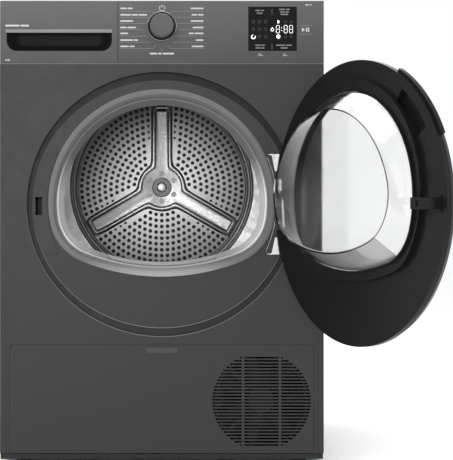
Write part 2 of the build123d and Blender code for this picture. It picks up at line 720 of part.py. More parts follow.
def lint_filter_frame():
    frame = filter_box(0) - filter_box(FILTER_WALL)
    low = FILTER_TOP - FILTER_HIGH
    for x0 in (-FILTER_HALF + 7, 3):
        frame -= block(x0, x0 + FILTER_HALF - 10, FILTER_FRONT - 1, FILTER_FRONT + FILTER_THICK + 1,
                       low + 8, FILTER_TOP - 12)
    for row in range(2):
        d = FILTER_FRONT + 4 + 9.5 * row
        for step in range(11):
            x = -FILTER_HALF + 10 + 16.6 * step
            frame -= block(x, x + 13, d, d + 5, FILTER_TOP - FILTER_WALL, FILTER_TOP)
    return frame


def lint_filter_mesh():
    low = FILTER_TOP - FILTER_HIGH + FILTER_WALL
    high = FILTER_TOP - FILTER_WALL
    half = FILTER_HALF - FILTER_WALL
    front = FILTER_FRONT + FILTER_WALL
    back = FILTER_FRONT + FILTER_THICK - FILTER_WALL
    return joined([block(-half, half, front, front + 0.8, low, high),
                   block(-half, half, back - 0.8, back, low, high)])


# ---- door (drawn shut, then opened) --------------------------------------------


def seam(inset=0.0):
    return rounded_arch(190 - inset, 498.5, 349 + inset, 400 - inset, 92 - inset)


def hole(inset=0.0):
    return rounded_arch(177 - inset, 491, 366 + inset, 380 - inset, 88 - inset)


def deep(inset=0.0):
    return rounded_arch(172 - inset, 466, 394.5 + inset, 330 - inset, 84 - inset)


def hinge_notches():
    """Room in the door's rim for the cabinet's hinge knuckles over the whole swing."""
    cut = []
    for side in (-1, 1):
        low, high = sorted([DOOR_Z + side * (KNUCKLE_LOW - 0.5), DOOR_Z + side * (KNUCKLE_HIGH + 0.5)])
        cut.append(block(HINGE_X - KNUCKLE_R - 0.6, DOOR_A + 8, -DOOR_FACE - 8, 0, low, high))
    return cut


def sector(a, b, angle0, angle1):
    """Wedge of an ellipse about the door's centre, as a front-view outline."""
    rim = []
    for step in range(5):
        angle = radians(angle0 + (angle1 - angle0) * step / 4)
        rim.append((400 * cos(angle), DOOR_Z + 400 * sin(angle)))
    return oval(a, b) & make_face(Polyline((0, DOOR_Z), *rim, close=True))


def door_shell(wall):
    """Door's rim and rounded front, a wall's thickness inside its outer surface."""
    rim = oval(DOOR_A - wall, DOOR_B - wall)
    shell = slab(rim, -DOOR_EDGE, -DOOR_BACK)
    last = (rim, -DOOR_EDGE)
    for turn in (30, 60, 90):
        shrink = wall + GLASS_SHRINK * (1 - cos(radians(turn)))
        depth = -DOOR_EDGE - (DOOR_FACE - DOOR_EDGE - wall) * sin(radians(turn))
        face = oval(DOOR_A - shrink, DOOR_B - shrink)
        shell += tapered(*last, face, depth)
        last = (face, depth)
    return shell


def door_outer_ring():
    ring = door_shell(0)
    ring += slab(sector(DOOR_A + 5, DOOR_B + 5, 118, 154), -DOOR_EDGE - 4, -DOOR_EDGE + 4)
    ring -= door_shell(WALL)
    front = DOOR_A - GLASS_SHRINK - WALL, DOOR_B - GLASS_SHRINK - WALL
    ring -= slab(oval(*front), -DOOR_FACE - 1, -DOOR_FACE + WALL + 1)
    ledge = oval(DOOR_A - GLASS_SHRINK + 2, DOOR_B - GLASS_SHRINK + 2)
    ledge -= oval(DOOR_A - GLASS_SHRINK - 14, DOOR_B - GLASS_SHRINK - 14)
    ring += slab(ledge, -DOOR_FACE + 2.2, -DOOR_FACE + 4.4)
    for cut in hinge_notches():
        ring -= cut
    return opened(ring)


def door_outer_glass():
    a = DOOR_A - GLASS_SHRINK - WALL - 0.2
    b = DOOR_B - GLASS_SHRINK - WALL - 0.2
    glass = slab(oval(a, b), -DOOR_FACE - 2, -DOOR_FACE + 2.2)
    return opened(glass)


def door_inner_ring():
    back = -DOOR_BACK
    step = -DOOR_BACK + SEAM_STEP
    plate = oval(DOOR_A - WALL - 0.1, DOOR_B - WALL - 0.1) - seam(WALL)
    ring = slab(plate, back - WALL, back)
    ring += slab(seam() - seam(WALL), back - WALL, step)
    ring += slab(seam() - hole(), step - WALL, step)
    ring += slab(hole(-WALL) - hole(), step - WALL, step + 5)
    cup = sector(232, 228, *HANDLE) - oval(200, 196)
    room = sector(230, 226, HANDLE[0] + 0.6, HANDLE[1] - 0.6) - oval(202, 198)
    ring += slab(cup, back - 13, back)
    ring -= slab(room, back - 11, back)
    for cut in hinge_notches():
        ring -= cut
    ring -= block(HINGE_X - 8, DOOR_A, back - 20, back + 1, DOOR_Z - 35, DOOR_Z + 35)
    return opened(ring)


def door_bowl():
    top = -DOOR_BACK + SEAM_STEP
    bottom = -DOOR_BACK + BOWL_DEEP
    bowl = slab(hole(-8) - hole(3), top - 2 * WALL, top - WALL)
    bowl += tapered(hole(0.4), top - WALL, deep(), bottom)
    bowl -= tapered(hole(0.4 + WALL), top - 2 * WALL, deep(WALL), bottom - WALL)
    return opened(bowl)


def bowl_deflector():
    top = -DOOR_BACK + SEAM_STEP
    bottom = -DOOR_BACK + BOWL_DEEP
    shell = tapered(hole(0.6 + WALL), top - 2 * WALL, deep(0.2 + WALL), bottom - WALL)
    shell -= tapered(hole(2.2 + WALL), top - 2 * WALL, deep(1.8 + WALL), bottom - WALL)
    shell = shell & block(-127, 127, top - WALL, bottom - WALL - 0.4, 350, 450)
    return opened(shell)


def door_latch_tongue():
    middle = (SLOT_Z0 + SLOT_Z1) / 2 + 2
    tongue = block(-228, -224, -DOOR_BACK, BOWL_DEEP - DOOR_BACK, middle - 9, middle + 9)
    tongue += block(-234, -217, -DOOR_BACK, -DOOR_BACK + 3, middle - 14, middle + 14)
    tongue -= block(-229, -223, 22, 31, middle - 5, middle + 5)
    return opened(tongue)


def door_hinge_arm():
    reach = KNUCKLE_LOW - 0.4
    back = -DOOR_BACK - WALL
    arm = post(HINGE_X, -HINGE_OUT, KNUCKLE_R, DOOR_Z - reach, DOOR_Z + reach)
    arm += block(194, HINGE_X, back - 4, back, DOOR_Z - reach, DOOR_Z + reach)
    arm -= post(HINGE_X, -HINGE_OUT, HINGE_PIN_R + FIT, DOOR_Z - reach, DOOR_Z + reach)
    return opened(arm)


# ---- drum ---------------------------------------------------------------------


def drum_shell():
    """Neck, cylinder and rear wall, three pressings that meet edge to edge."""
    inside = DRUM_R - DRUM_SHEET
    neck_out = NECK_R + DRUM_SHEET
    wall_front = DISC_D - DRUM_SHEET
    neck = turned([(DRUM_FRONT, NECK_R), (DRUM_FRONT, neck_out), (NECK_BACK, neck_out),
                   (CONE_BACK - DRUM_SHEET, DRUM_R), (CONE_BACK, DRUM_R), (CONE_BACK, inside),
                   (NECK_BACK + DRUM_SHEET, NECK_R)])
    cylinder = turned([(CONE_BACK, inside), (CONE_BACK, DRUM_R), (wall_front, DRUM_R), (wall_front, inside)])
    rear = turned([(wall_front, DISC_R), (wall_front, DRUM_R), (DISC_D, DRUM_R), (DISC_D, DISC_R)])
    return joined([neck, cylinder, rear])


def hole_places():
    """Air holes in rings, left clear along the three spider arms."""
    places = []
    for ring in range(HOLE_RINGS):
        r = HOLE_RING + HOLE_STEP * ring
        half = radians(60) - asin(27 / r)
        count = int(half * r / HOLE_PITCH)
        for third in (30, 150, 270):
            for step in range(-count, count + 1):
                angle = radians(third) + step * HOLE_PITCH / r
                from_arm = radians(60) - abs(step) * HOLE_PITCH / r
                small = r * sin(from_arm) < 29.6
                places.append((r * cos(angle), r * sin(angle), SMALL_HOLE_R if small else BIG_HOLE_R))
    return places


def arm_outline(half, end):
    shape = Sketch()
    for angle in (90, 210, 330):
        shape += Rot(0, 0, angle) * Pos(end / 2, 0) * Rectangle(end, 2 * half)
    return shape


def drum_back():
    sheet = Circle(DISC_EDGE)
    holes = [Pos(x, z) * Circle(r) for x, z, r in hole_places()]
    sheet = sheet - holes
    back = slab(Pos(0, DRUM_Z) * sheet, DISC_D, DISC_D + DISC_SHEET)
    raised = arm_outline(ARM_HALF, ARM_END) + Circle(51)
    raised -= Circle(21.3) - Circle(10.4)
    for angle in range(30, 390, 60):
        raised -= Rot(0, 0, angle) * Pos(30.4, 0) * Circle(6)
    channel = arm_outline(ARM_CHANNEL, ARM_END - 6) - Circle(51)
    back += slab(Pos(0, DRUM_Z) * raised, DISC_D - 3, DISC_D)
    back -= slab(Pos(0, DRUM_Z) * channel, DISC_D - 3, DISC_D - 1.5)
    return back


def lifter_outline(wall):
    """Cross-section of a lifter, a wall's thickness inside its outer surface."""
    inside = DRUM_R - DRUM_SHEET
    top = inside - LIFTER_HIGH + wall
    foot = inside + 4
    outline = Polyline((top, -9 + wall), (foot, -30 + wall), (foot, 30 - wall), (top, 9 - wall), close=True)
    crest = make_face(outline).vertices().sort_by(Axis.X)[:2]
    return fillet(crest, 7 - wall)


def drum_lifters():
    pieces = []
    drum_inside = Circle(DRUM_R - DRUM_SHEET)
    back = DISC_D - DRUM_SHEET - LIFTER_BACK_GAP
    for angle in (30, 150, 270):
        turn = Rot(0, 0, angle)
        outer = (turn * lifter_outline(0)) & drum_inside
        inner = turn * lifter_outline(LIFTER_WALL)
        lifter = slab(Pos(0, DRUM_Z) * outer, LIFTER_FRONT, back)
        lifter -= slab(Pos(0, DRUM_Z) * inner, LIFTER_FRONT + LIFTER_WALL, back - LIFTER_WALL)
        pieces.append(lifter)
    return joined(pieces)


def drum_shaft():
    return turned([(SHAFT_FRONT, 0), (SHAFT_FRONT, 50), (SHAFT_FRONT + 4, 50), (SHAFT_FRONT + 9, 20),
                   (SHAFT_FRONT + 20, BEARING_R), (PANEL_D + 11, BEARING_R), (PANEL_D + 11, 0)])


def bearing_housing():
    bore = BEARING_R + FIT
    return turned([(PANEL_D - 16, bore), (PANEL_D - 16, 30), (PANEL_D, 30), (PANEL_D, 50),
                   (PANEL_D + 4, 50), (PANEL_D + 6, 24), (PANEL_D + 12, 24), (PANEL_D + 12, bore)])


def drum_seals():
    """Felt rings that close the gaps at the drum's neck and at its back plate."""
    d0 = BULK_D + BULK_THICK + 9.6
    reach = FLANGE_R + NECK_FELT - GAP + 0.2
    front = turned([(d0, FLANGE_R), (d0, reach), (87, reach), (87, FLANGE_R)])
    d0 = SHAFT_FRONT + GAP
    d1 = SHAFT_FRONT + 5
    rear = turned([(d0, AIR_RING_R - 7), (d0, AIR_RING_R + 3), (d1, AIR_RING_R + 3), (d1, AIR_RING_R - 7)])
    return joined([front, rear])


# ---- belt drive ---------------------------------------------------------------
def belt_outline(grow):
    around = [Pos(0, DRUM_Z) * Circle(DRUM_R + grow), Pos(MOTOR_X, MOTOR_Z) * Circle(PULLEY_R + grow)]
    edges = around[0].edges() + around[1].edges()
    return make_hull(edges)


def drive_belt():
    face = belt_outline(GAP + BELT_THICK) - belt_outline(GAP)
    return slab(face, BELT_DEPTH - BELT_WIDE / 2, BELT_DEPTH + BELT_WIDE / 2)


def idler_place():
    """Centre of the idler, beside the belt's right-hand run."""
    away = hypot(MOTOR_X, DRUM_Z - MOTOR_Z)
    along = (-MOTOR_X / away, (DRUM_Z - MOTOR_Z) / away)
    right = (along[1], -along[0])
    lean = (DRUM_R - PULLEY_R) / away
    level = sqrt(1 - lean ** 2)
    normal = (level * right[0] - lean * along[0], level * right[1] - lean * along[1])
    run = (-normal[1], normal[0])
    out = PULLEY_R + GAP + BELT_THICK + GAP + IDLER_R
    x = MOTOR_X + normal[0] * out + run[0] * 95
    z = MOTOR_Z + normal[1] * out + run[1] * 95
    return x, z


def idler_pulley():
    x, z = idler_place()
    half = BELT_WIDE / 2
    wheel = disc(x, z, IDLER_R, BELT_DEPTH - half, BELT_DEPTH + half)
    return wheel - disc(x, z, 4 + FIT, BELT_DEPTH - half, BELT_DEPTH + half)


def tensioner_arm():
    x, z = idler_place()
    d0 = TENSION_D + 5 + GAP
    d1 = BELT_DEPTH - BELT_WIDE / 2 - GAP
    length = hypot(x - TENSION_X, z - TENSION_Z)
    turn = degrees(atan2(z - TENSION_Z, x - TENSION_X))
    place = Pos(TENSION_X, TENSION_Z) * Rot(0, 0, turn) * Pos(length / 2, 0)
    outline = place * SlotCenterToCenter(length, 18)
    arm = slab(outline, d0, d1)
    arm += disc(x, z, 4, d1, BELT_DEPTH + BELT_WIDE / 2 + 1)
    arm += disc(TENSION_X, TENSION_Z, 4, TENSION_D - 2, d0)
    return arm


def drive_motor():
    motor = disc(MOTOR_X, MOTOR_Z, MOTOR_R, MOTOR_D0 + 8, MOTOR_D1 - 8)
    motor += disc(MOTOR_X, MOTOR_Z, 40, MOTOR_D0, MOTOR_D1)
    motor += block(MOTOR_X - 48, MOTOR_X + 48, MOTOR_D0 + 20, MOTOR_D1 - 20, TRAY_FLOOR, MOTOR_Z - 48)
    motor += block(MOTOR_X - 30, MOTOR_X + 30, MOTOR_D0 + 20, MOTOR_D1 - 20, MOTOR_Z - 49, MOTOR_Z - 40)
    can = MOTOR_R - MOTOR_WALL
    stator = Circle(can) - Circle(STATOR_R)
    motor -= disc(MOTOR_X, MOTOR_Z, can, MOTOR_D0 + 12, MOTOR_D1 - 12)
    motor += slab(Pos(MOTOR_X, MOTOR_Z) * stator, MOTOR_D0 + 40, MOTOR_D1 - 40)
    motor -= disc(MOTOR_X, MOTOR_Z, SHAFT_R + FIT, MOTOR_D0 - 1, MOTOR_D1 + 1)
    return motor


def motor_pulley_shaft():
    half = BELT_WIDE / 2
    shaft = disc(MOTOR_X, MOTOR_Z, SHAFT_R, BELT_DEPTH - half - 4, IMPELLER_D1)
    shaft += disc(MOTOR_X, MOTOR_Z, PULLEY_R, BELT_DEPTH - half - 2, BELT_DEPTH + half + 2)
    for d in (BELT_DEPTH - half - 3, BELT_DEPTH + half + 1):
        shaft += disc(MOTOR_X, MOTOR_Z, PULLEY_R + 4, d, d + 2)
    return shaft


def fan_impeller():
    d0 = IMPELLER_D0
    d1 = IMPELLER_D1
    wheel = disc(MOTOR_X, MOTOR_Z, IMPELLER_R, d1 - 3, d1) + disc(MOTOR_X, MOTOR_Z, 14, d0 + 6, d1)
    wheel += slab(Pos(MOTOR_X, MOTOR_Z) * (Circle(IMPELLER_R) - Circle(IMPELLER_R - 12)), d0, d0 + 3)
    for step in range(16):
        blade = Rot(0, 0, 22.5 * step) * Pos(IMPELLER_R - 7, 0) * Rot(0, 0, 35) * Rectangle(11, 1.8)
        wheel += slab(Pos(MOTOR_X, MOTOR_Z) * blade, d0, d1)
    wheel -= disc(MOTOR_X, MOTOR_Z, SHAFT_R, d0, d1)
    return wheel


def fan_housing():
    d0 = IMPELLER_D0 - 7
    d1 = PANEL_D - SKIN
    half = IMPELLER_R + 8
    outline = fillet(Rectangle(2 * half, 2 * half).vertices(), 30)
    room = fillet(Rectangle(2 * half - 5, 2 * half - 5).vertices(), 27.5)
    place = Pos(MOTOR_X, MOTOR_Z)
    housing = slab(place * outline, d0, d1) - slab(place * room, d0 + WALL, d1)
    housing -= disc(MOTOR_X, MOTOR_Z, 45, d0, d0 + WALL)
    for side in (-1, 1):
        x = MOTOR_X + side * 40
        housing += block(x - 8, x + 8, d0 + 10, d1 - 10, TRAY_FLOOR, MOTOR_Z - half + 1)
    housing += inlet_duct()
    housing -= disc(MOTOR_X, MOTOR_Z, 44, d0 - 3, d0 + WALL)
    return housing


def inlet_duct():
    """Carries the dried air from the heat exchanger to the process fan."""
    back = IMPELLER_D0 - 7
    front = MOTOR_D1 + 6
    right = MOTOR_X + 50
    duct = block(DUCT_X0, DUCT_X1, HX_BACK, back, DUCT_Z0, DUCT_Z1)
    duct += block(DUCT_X0, right, front, back, DUCT_Z0, DUCT_Z1)
    duct -= block(DUCT_X0 + 2, DUCT_X1 - 2, HX_BACK - 1, back - 2, DUCT_Z0 + 2, DUCT_Z1 - 2)
    duct -= block(DUCT_X0 + 2, right - 2, front + 2, back - 2, DUCT_Z0 + 2, DUCT_Z1 - 2)
    duct -= disc(MOTOR_X, MOTOR_Z, SHAFT_R + 4, front - 1, front + 3)
    for d in (HX_BACK + 20, back - 30):
        duct += block(DUCT_X0 + 30, DUCT_X0 + 60, d, d + 12, TRAY_FLOOR, DUCT_Z0 + 1)
    return duct


# ---- heat pump ----------------------------------------------------------------


def heat_exchanger_housing():
    box = block(HX0, HX1, HX_FRONT, HX_BACK, TRAY_FLOOR, HX_TOP)
    low = TRAY_FLOOR + WALL
    box -= block(HX0 + WALL, HX1 - WALL, HX_FRONT + WALL, HX_BACK - WALL, low, HX_TOP - WALL)
    box -= block(HX0 + 10, HX1 - 10, HX_FRONT - 1, HX_FRONT + WALL + 1, 42, HX_TOP - 12)
    box -= block(DUCT_X0 + 2, DUCT_X1 - 2, HX_BACK - WALL - 1, HX_BACK + 1, DUCT_Z0 + 2, DUCT_Z1 - 2)
    box -= block(-FILTER_HALF, HX1 - 5, FILTER_FRONT + 1, BULK_D - 3, HX_TOP - WALL - 1, HX_TOP + 1)
    return box


def coil(d0, d1):
    """Fins on side-to-side tubes, standing on the housing's floor."""
    x0 = HX0 + WALL
    x1 = HX1 - WALL
    low = TRAY_FLOOR + WALL
    high = HX_TOP - WALL - 2
    body = block(x0, x0 + 2, d0, d1, low, high) + block(x1 - 2, x1, d0, d1, low, high)
    count = 14
    for step in range(1, count):
        x = x0 + (x1 - x0) * step / count
        body += block(x - 0.5, x + 0.5, d0 + 2, d1 - 2, low + 3, high - 3)
    for row in range(2):
        for level in range(5):
            d = d0 + (d1 - d0) * (row + 0.5) / 2
            body += bar(x0 + 1, x1 - 1, d, low + 24 + 32 * level, 4.5)
    return body


def evaporator_cover():
    cover = block(HX0 + 3, HX1 - 3, HX_FRONT - 8, HX_FRONT, COVER_LOW, HX_TOP - 3)
    cover += block(HX0 + 10.4, HX1 - 10.4, HX_FRONT, HX_FRONT + 4, 42.4, HX_TOP - 12.4)
    cover -= block(HX0 + 13, HX1 - 13, HX_FRONT - 5, HX_FRONT + 4, 45, HX_TOP - 15)
    for x in lever_places():
        cover += disc(x, LEVER_Z, 9, HX_FRONT - 8, HX_FRONT)
        cover -= disc(x, LEVER_Z, 3 + FIT, HX_FRONT - 8, HX_FRONT)
    return cover


def lever_places():
    return [HX0 + 24, HX1 - 24]


def cover_lever(x):
    d1 = HX_FRONT - 8 - GAP
    outline = Pos(x, LEVER_Z - 14) * Rot(0, 0, 90) * SlotCenterToCenter(28, 14)
    lever = slab(outline, d1 - 7, d1)
    lever += disc(x, LEVER_Z, 3, d1, HX_FRONT - 0.5)
    return lever


def compressor_feet():
    places = []
    for angle in (90, 210, 330):
        places.append((COMPRESSOR_X + 76 * cos(radians(angle)), COMPRESSOR_D + 76 * sin(radians(angle))))
    return places


def compressor():
    shell = post(COMPRESSOR_X, COMPRESSOR_D, COMPRESSOR_R, MOUNT_HIGH + 3, COMPRESSOR_TOP)
    shell = fillet(shell.edges().filter_by(GeomType.CIRCLE), 22)
    shell += post(COMPRESSOR_X, COMPRESSOR_D, COMPRESSOR_R + 2, 108, 112)
    shell += post(COMPRESSOR_X, COMPRESSOR_D, 45, MOUNT_HIGH, MOUNT_HIGH + 6)
    for x, d in compressor_feet():
        leg = Pos((x + COMPRESSOR_X) / 2, FRONT + (d + COMPRESSOR_D) / 2, MOUNT_HIGH + 1.5)
        turn = degrees(atan2(d - COMPRESSOR_D, x - COMPRESSOR_X))
        shell += leg * Rot(0, 0, turn) * Box(76, 30, 3)
        shell += post(x, d, 15, MOUNT_HIGH, MOUNT_HIGH + 3)
    room = COMPRESSOR_R - COMPRESSOR_WALL
    low = MOUNT_HIGH + 3 + COMPRESSOR_WALL
    cavity = post(COMPRESSOR_X, COMPRESSOR_D, room, low, COMPRESSOR_TOP - COMPRESSOR_WALL)
    cavity = fillet(cavity.edges().filter_by(GeomType.CIRCLE), 22 - COMPRESSOR_WALL)
    cavity -= post(COMPRESSOR_X, COMPRESSOR_D, PUMP_CORE_R, low, PUMP_CORE_TOP)
    return shell - cavity


def refrigerant_pipes():
    pieces = []
    rise = COMPRESSOR_TOP + 30
    for x, d, end in ((COMPRESSOR_X - 20, COMPRESSOR_D, HX1 - 34), (COMPRESSOR_X, COMPRESSOR_D + 28, HX1 - 60)):
        y = FRONT + d
        path = FilletPolyline((x, y, COMPRESSOR_TOP), (x, y, rise), (end, y, rise), (end, y, HX_TOP), radius=8)
        section = Plane(origin=(x, y, COMPRESSOR_TOP), z_dir=(0, 0, 1)) * Circle(4)
        pieces.append(sweep(section, path))
    return joined(pieces)


def condensate_pump():
    pump = block(PUMP_X - 20, PUMP_X + 20, 436, 494, TRAY_FLOOR, 62)
    pump += post(PUMP_X + 2, 462, 14, 62, 92)
    pump += post(HOSE_X + 4, 484, 6.5, 60, 86)
    return pump


def condensate_hose():
    y0 = FRONT + 484
    y1 = FRONT + HOSE_D
    x = HOSE_X + 4
    top = TUB_HI - 24
    y2 = FRONT + BAND_DEPTH + TUB_LENGTH + 4
    path = FilletPolyline((x, y0, 86), (x, y0, 130), (x, y1, 130), (x, y1, top), (x, y2, top), radius=7)
    section = Plane(origin=(x, y0, 86), z_dir=(0, 0, 1)) * Circle(5)
    return sweep(section, path)


# ---- cooling fan --------------------------------------------------------------


def cooling_fan_shroud():
    place = Pos(GRILLE_X, GRILLE_Z)
    shroud = slab(place * (Circle(SHROUD_R) - Circle(SHROUD_R - 3)), SHROUD_D0, SHROUD_D1)
    spokes = Sketch()
    for step in range(4):
        spokes += Rot(0, 0, 45 + 90 * step) * Pos(SHROUD_R / 2, 0) * Rectangle(SHROUD_R - 2, 8)
    shroud += slab(place * spokes, SHROUD_D1 - 3, SHROUD_D1)
    shroud += disc(GRILLE_X, GRILLE_Z, 22, SHROUD_D1 - 3, SHROUD_D1 + 18)
    shroud += block(GRILLE_X - 24, GRILLE_X + 24, 19, 33, TRAY_FLOOR, GRILLE_Z - SHROUD_R + 5)
    shroud -= slab(place * Circle(SHROUD_R - 3), SHROUD_D0, SHROUD_D1 - 3)
    shroud -= disc(GRILLE_X, GRILLE_Z, 3 + FIT, SHROUD_D1 - 3, SHROUD_D1 + 14)
    return shroud


def cooling_fan():
    d1 = SHROUD_D1 - 3 - 0.6
    d0 = SHROUD_D0 + 2
    place = Pos(GRILLE_X, GRILLE_Z)
    fan = slab(place * Circle(24), d0, d1)
    for step in range(7):
        blade = Pos(52, 0, 0) * Rot(32, 0, 0) * Box(58, 22, 1.8)
        blade = Rot(0, 0, 360 / 7 * step) * blade
        middle = Plane.XZ.offset(-(FRONT + (d0 + d1) / 2)).location * Pos(GRILLE_X, GRILLE_Z, 0)
        fan += middle * blade
    fan += disc(GRILLE_X, GRILLE_Z, 3, d1, SHROUD_D1 + 12)
    return fan


# ---- kick flap ----------------------------------------------------------------


def grille_slots():
    """Level slots across the round grille, broken by two upright ribs."""
    count = int(2 * (GRILLE_R - 5) / SLOT_PITCH)
    slots = Sketch()
    for step in range(count):
        z = (step - (count - 1) / 2) * SLOT_PITCH
        half = sqrt(GRILLE_R ** 2 - (abs(z) + 1.7) ** 2)
        slots += Pos(GRILLE_X, GRILLE_Z + z) * Rectangle(2 * half, 3.2)
    for x in (-34, 34):
        slots -= Pos(GRILLE_X + x, GRILLE_Z) * Rectangle(4.5, 2 * GRILLE_R)
    return slots


def kick_flap():
    half = FLAP_HALF
    low = PLINTH_TOP + 0.6
    outline = Pos(0, (FLAP_TOP + low) / 2) * Rectangle(2 * half, FLAP_TOP - low)
    top = outline.vertices().group_by(Axis.Y)[-1]
    outline = fillet(top, 9)
    flap = slab(outline, 0, FLAP_WALL)
    rim = outline - Pos(0, (FLAP_TOP + low) / 2 - 8) * Rectangle(2 * half - 5, FLAP_TOP - low + 11)
    flap += slab(rim, FLAP_WALL - 0.5, FLAP_RIM)
    flap -= slab(grille_slots(), 0, FLAP_WALL)
    flap -= block(-TAB_HALF - GAP, TAB_HALF + GAP, 0, FLAP_WALL, TAB_LOW - GAP, TAB_HIGH + GAP)
    for side in (-1, 1):
        ends = sorted([side * (half - 6), side * (half + 6)])
        flap += bar(ends[0], ends[1], FLAP_AXIS_D, FLAP_AXIS_Z, FLAP_PIN_R)
        ear = sorted([side * (half - 6), side * half])
        flap += block(ear[0], ear[1], 1, FLAP_AXIS_D + 1, low, FLAP_AXIS_Z + 8)
    return flap


def flap_button():
    button = block(-TAB_HALF, TAB_HALF, 0.2, 4, TAB_LOW, TAB_HIGH)
    return button + block(-TAB_HALF + 2, TAB_HALF - 2, FLAP_WALL + GAP, 5, TAB_LOW - 3, TAB_HIGH)


# ---- the set ------------------------------------------------------------------
def build():
    pieces = {
        "base_tray": base_tray(), "feet": feet(), "front_panel": front_panel(),
        "left_side_panel": side_panel(-1), "right_side_panel": side_panel(1),
        "back_panel": back_panel(), "cabinet_screws": cabinet_screws(),
        "rear_duct_cover": rear_duct_cover(), "mains_inlet": mains_inlet(), "worktop": worktop(),
        "control_panel": control_panel(), "display_window": display_window(),
        "control_board": control_board(), "program_knob": program_knob(), "knob_ring": knob_ring(),
        "tank_tub": tank_tub(), "tank_lid": tank_lid(), "tank_front": tank_front(),
        "tank_housing": tank_housing(), "loading_ring": loading_ring(),
        "front_bulkhead": front_bulkhead(), "drum_seals": drum_seals(),
        "left_roller": roller(-1), "right_roller": roller(1), "latch_cover": latch_cover(),
        "hinge_bracket": hinge_bracket(),
        "lint_filter_frame": lint_filter_frame(), "lint_filter_mesh": lint_filter_mesh(),
        "door_outer_ring": door_outer_ring(), "door_outer_glass": door_outer_glass(),
        "door_inner_ring": door_inner_ring(), "door_bowl": door_bowl(),
        "bowl_deflector": bowl_deflector(), "door_latch_tongue": door_latch_tongue(),
        "door_hinge_arm": door_hinge_arm(),
        "drum_shell": drum_shell(), "drum_back": drum_back(), "drum_lifters": drum_lifters(),
        "drum_shaft": drum_shaft(), "bearing_housing": bearing_housing(),
        "drive_belt": drive_belt(), "idler_pulley": idler_pulley(), "tensioner_arm": tensioner_arm(),
        "drive_motor": drive_motor(), "motor_pulley_shaft": motor_pulley_shaft(),
        "fan_impeller": fan_impeller(), "fan_housing": fan_housing(),
        "heat_exchanger_housing": heat_exchanger_housing(),
        "heat_exchanger_coils": joined([coil(84, 174), coil(189, 299)]),
        "evaporator_cover": evaporator_cover(),
        "compressor": compressor(),
        "refrigerant_pipes": refrigerant_pipes(),
        "condensate_pump": condensate_pump(), "condensate_hose": condensate_hose(),
        "cooling_fan_shroud": cooling_fan_shroud(), "cooling_fan": cooling_fan(),
        "kick_flap": kick_flap(), "flap_button": flap_button(),
    }
    left, right = lever_places()
    pieces["left_cover_lever"] = cover_lever(left)
    pieces["right_cover_lever"] = cover_lever(right)
    return pieces


os.makedirs("parts", exist_ok=True)
for name, piece in build().items():
    save(name, piece)
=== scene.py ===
import json
import math

import bmesh
import bpy
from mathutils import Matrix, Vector


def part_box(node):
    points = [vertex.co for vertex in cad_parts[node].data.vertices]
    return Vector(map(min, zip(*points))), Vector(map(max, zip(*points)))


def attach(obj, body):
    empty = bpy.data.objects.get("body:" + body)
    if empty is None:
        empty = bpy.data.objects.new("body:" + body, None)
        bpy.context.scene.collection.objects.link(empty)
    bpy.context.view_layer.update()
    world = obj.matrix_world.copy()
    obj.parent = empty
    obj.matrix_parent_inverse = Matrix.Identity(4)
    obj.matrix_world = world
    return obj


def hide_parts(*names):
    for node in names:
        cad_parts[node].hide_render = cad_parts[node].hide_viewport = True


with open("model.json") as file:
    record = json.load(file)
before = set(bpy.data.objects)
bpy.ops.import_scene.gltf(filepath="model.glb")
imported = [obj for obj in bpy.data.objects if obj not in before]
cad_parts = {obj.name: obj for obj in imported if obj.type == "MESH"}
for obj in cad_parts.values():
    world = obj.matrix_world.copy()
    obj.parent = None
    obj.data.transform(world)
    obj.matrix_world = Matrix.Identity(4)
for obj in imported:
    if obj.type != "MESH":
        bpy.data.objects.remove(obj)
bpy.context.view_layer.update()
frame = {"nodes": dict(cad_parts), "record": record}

# ---- places read from the frame -------------------------------------------------
MM = 0.001
PANEL_LOW, PANEL_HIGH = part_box("front_panel")
FRONT = PANEL_LOW[1]                      # the cabinet's front face
BAND_LOW, BAND_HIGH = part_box("control_panel")
TANK_LOW, TANK_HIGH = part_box("tank_front")
WINDOW_LOW, WINDOW_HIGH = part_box("display_window")
RING_LOW, RING_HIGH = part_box("loading_ring")
DISC_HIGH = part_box("drum_back")[1]
FLAP_LOW, FLAP_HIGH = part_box("kick_flap")
RIM_LOW, RIM_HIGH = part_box("door_outer_ring")
JOINTS = {joint["name"]: joint for joint in frame["record"]["behaviour"]["joints"]}
DRUM_Z = JOINTS["drum_spin"]["pos_m"][2]

# ---- the same places in millimetres -----------------------------------------------
DRUM_MID = DRUM_Z / MM
DISC_SHEET = 1.2
DISC_FACE = (DISC_HIGH[1] - FRONT) / MM - DISC_SHEET    # front of the back plate's sheet
DOOR_MID = (RIM_LOW[2] + RIM_HIGH[2]) / 2 / MM
KNOB_MID = JOINTS["knob_turn"]["pos_m"][2] / MM
MOUTH_MID = 470.0                         # height that the mouth's outline is turned about
MOUTH_TOP = RING_HIGH[2] / MM
MOUTH_LOW = RING_LOW[2] / MM
MOUTH_HALF = RING_HIGH[0] / MM

# ---- sizes of the pieces, in millimetres ------------------------------------------
ARMS = (90, 210, 330)                     # the spider's arms, in degrees
STUDS_R = 30.4                            # six studs round the hub
SEAM = 1.6                                # width of the painted shadow in the gap round the kick flap
DRAWER_SEAM = 1.3
GROOVE_OUTER = (248.9, 244.4)             # half width and half height of the groove's edges
GROOVE_INNER = (239.0, 228.4)
HINGE_COVER_OVAL = (236.4, 226.0)
HINGE_COVER_HALF = 91.0
RECESS_X = (TANK_LOW[0] / MM + 12.4, TANK_HIGH[0] / MM - 10.5)
RECESS_Z = (TANK_HIGH[2] / MM - 92.8, TANK_HIGH[2] / MM - 59.6)
LEDGE_TRIM = 6.0                          # height of the bright bar over the recess

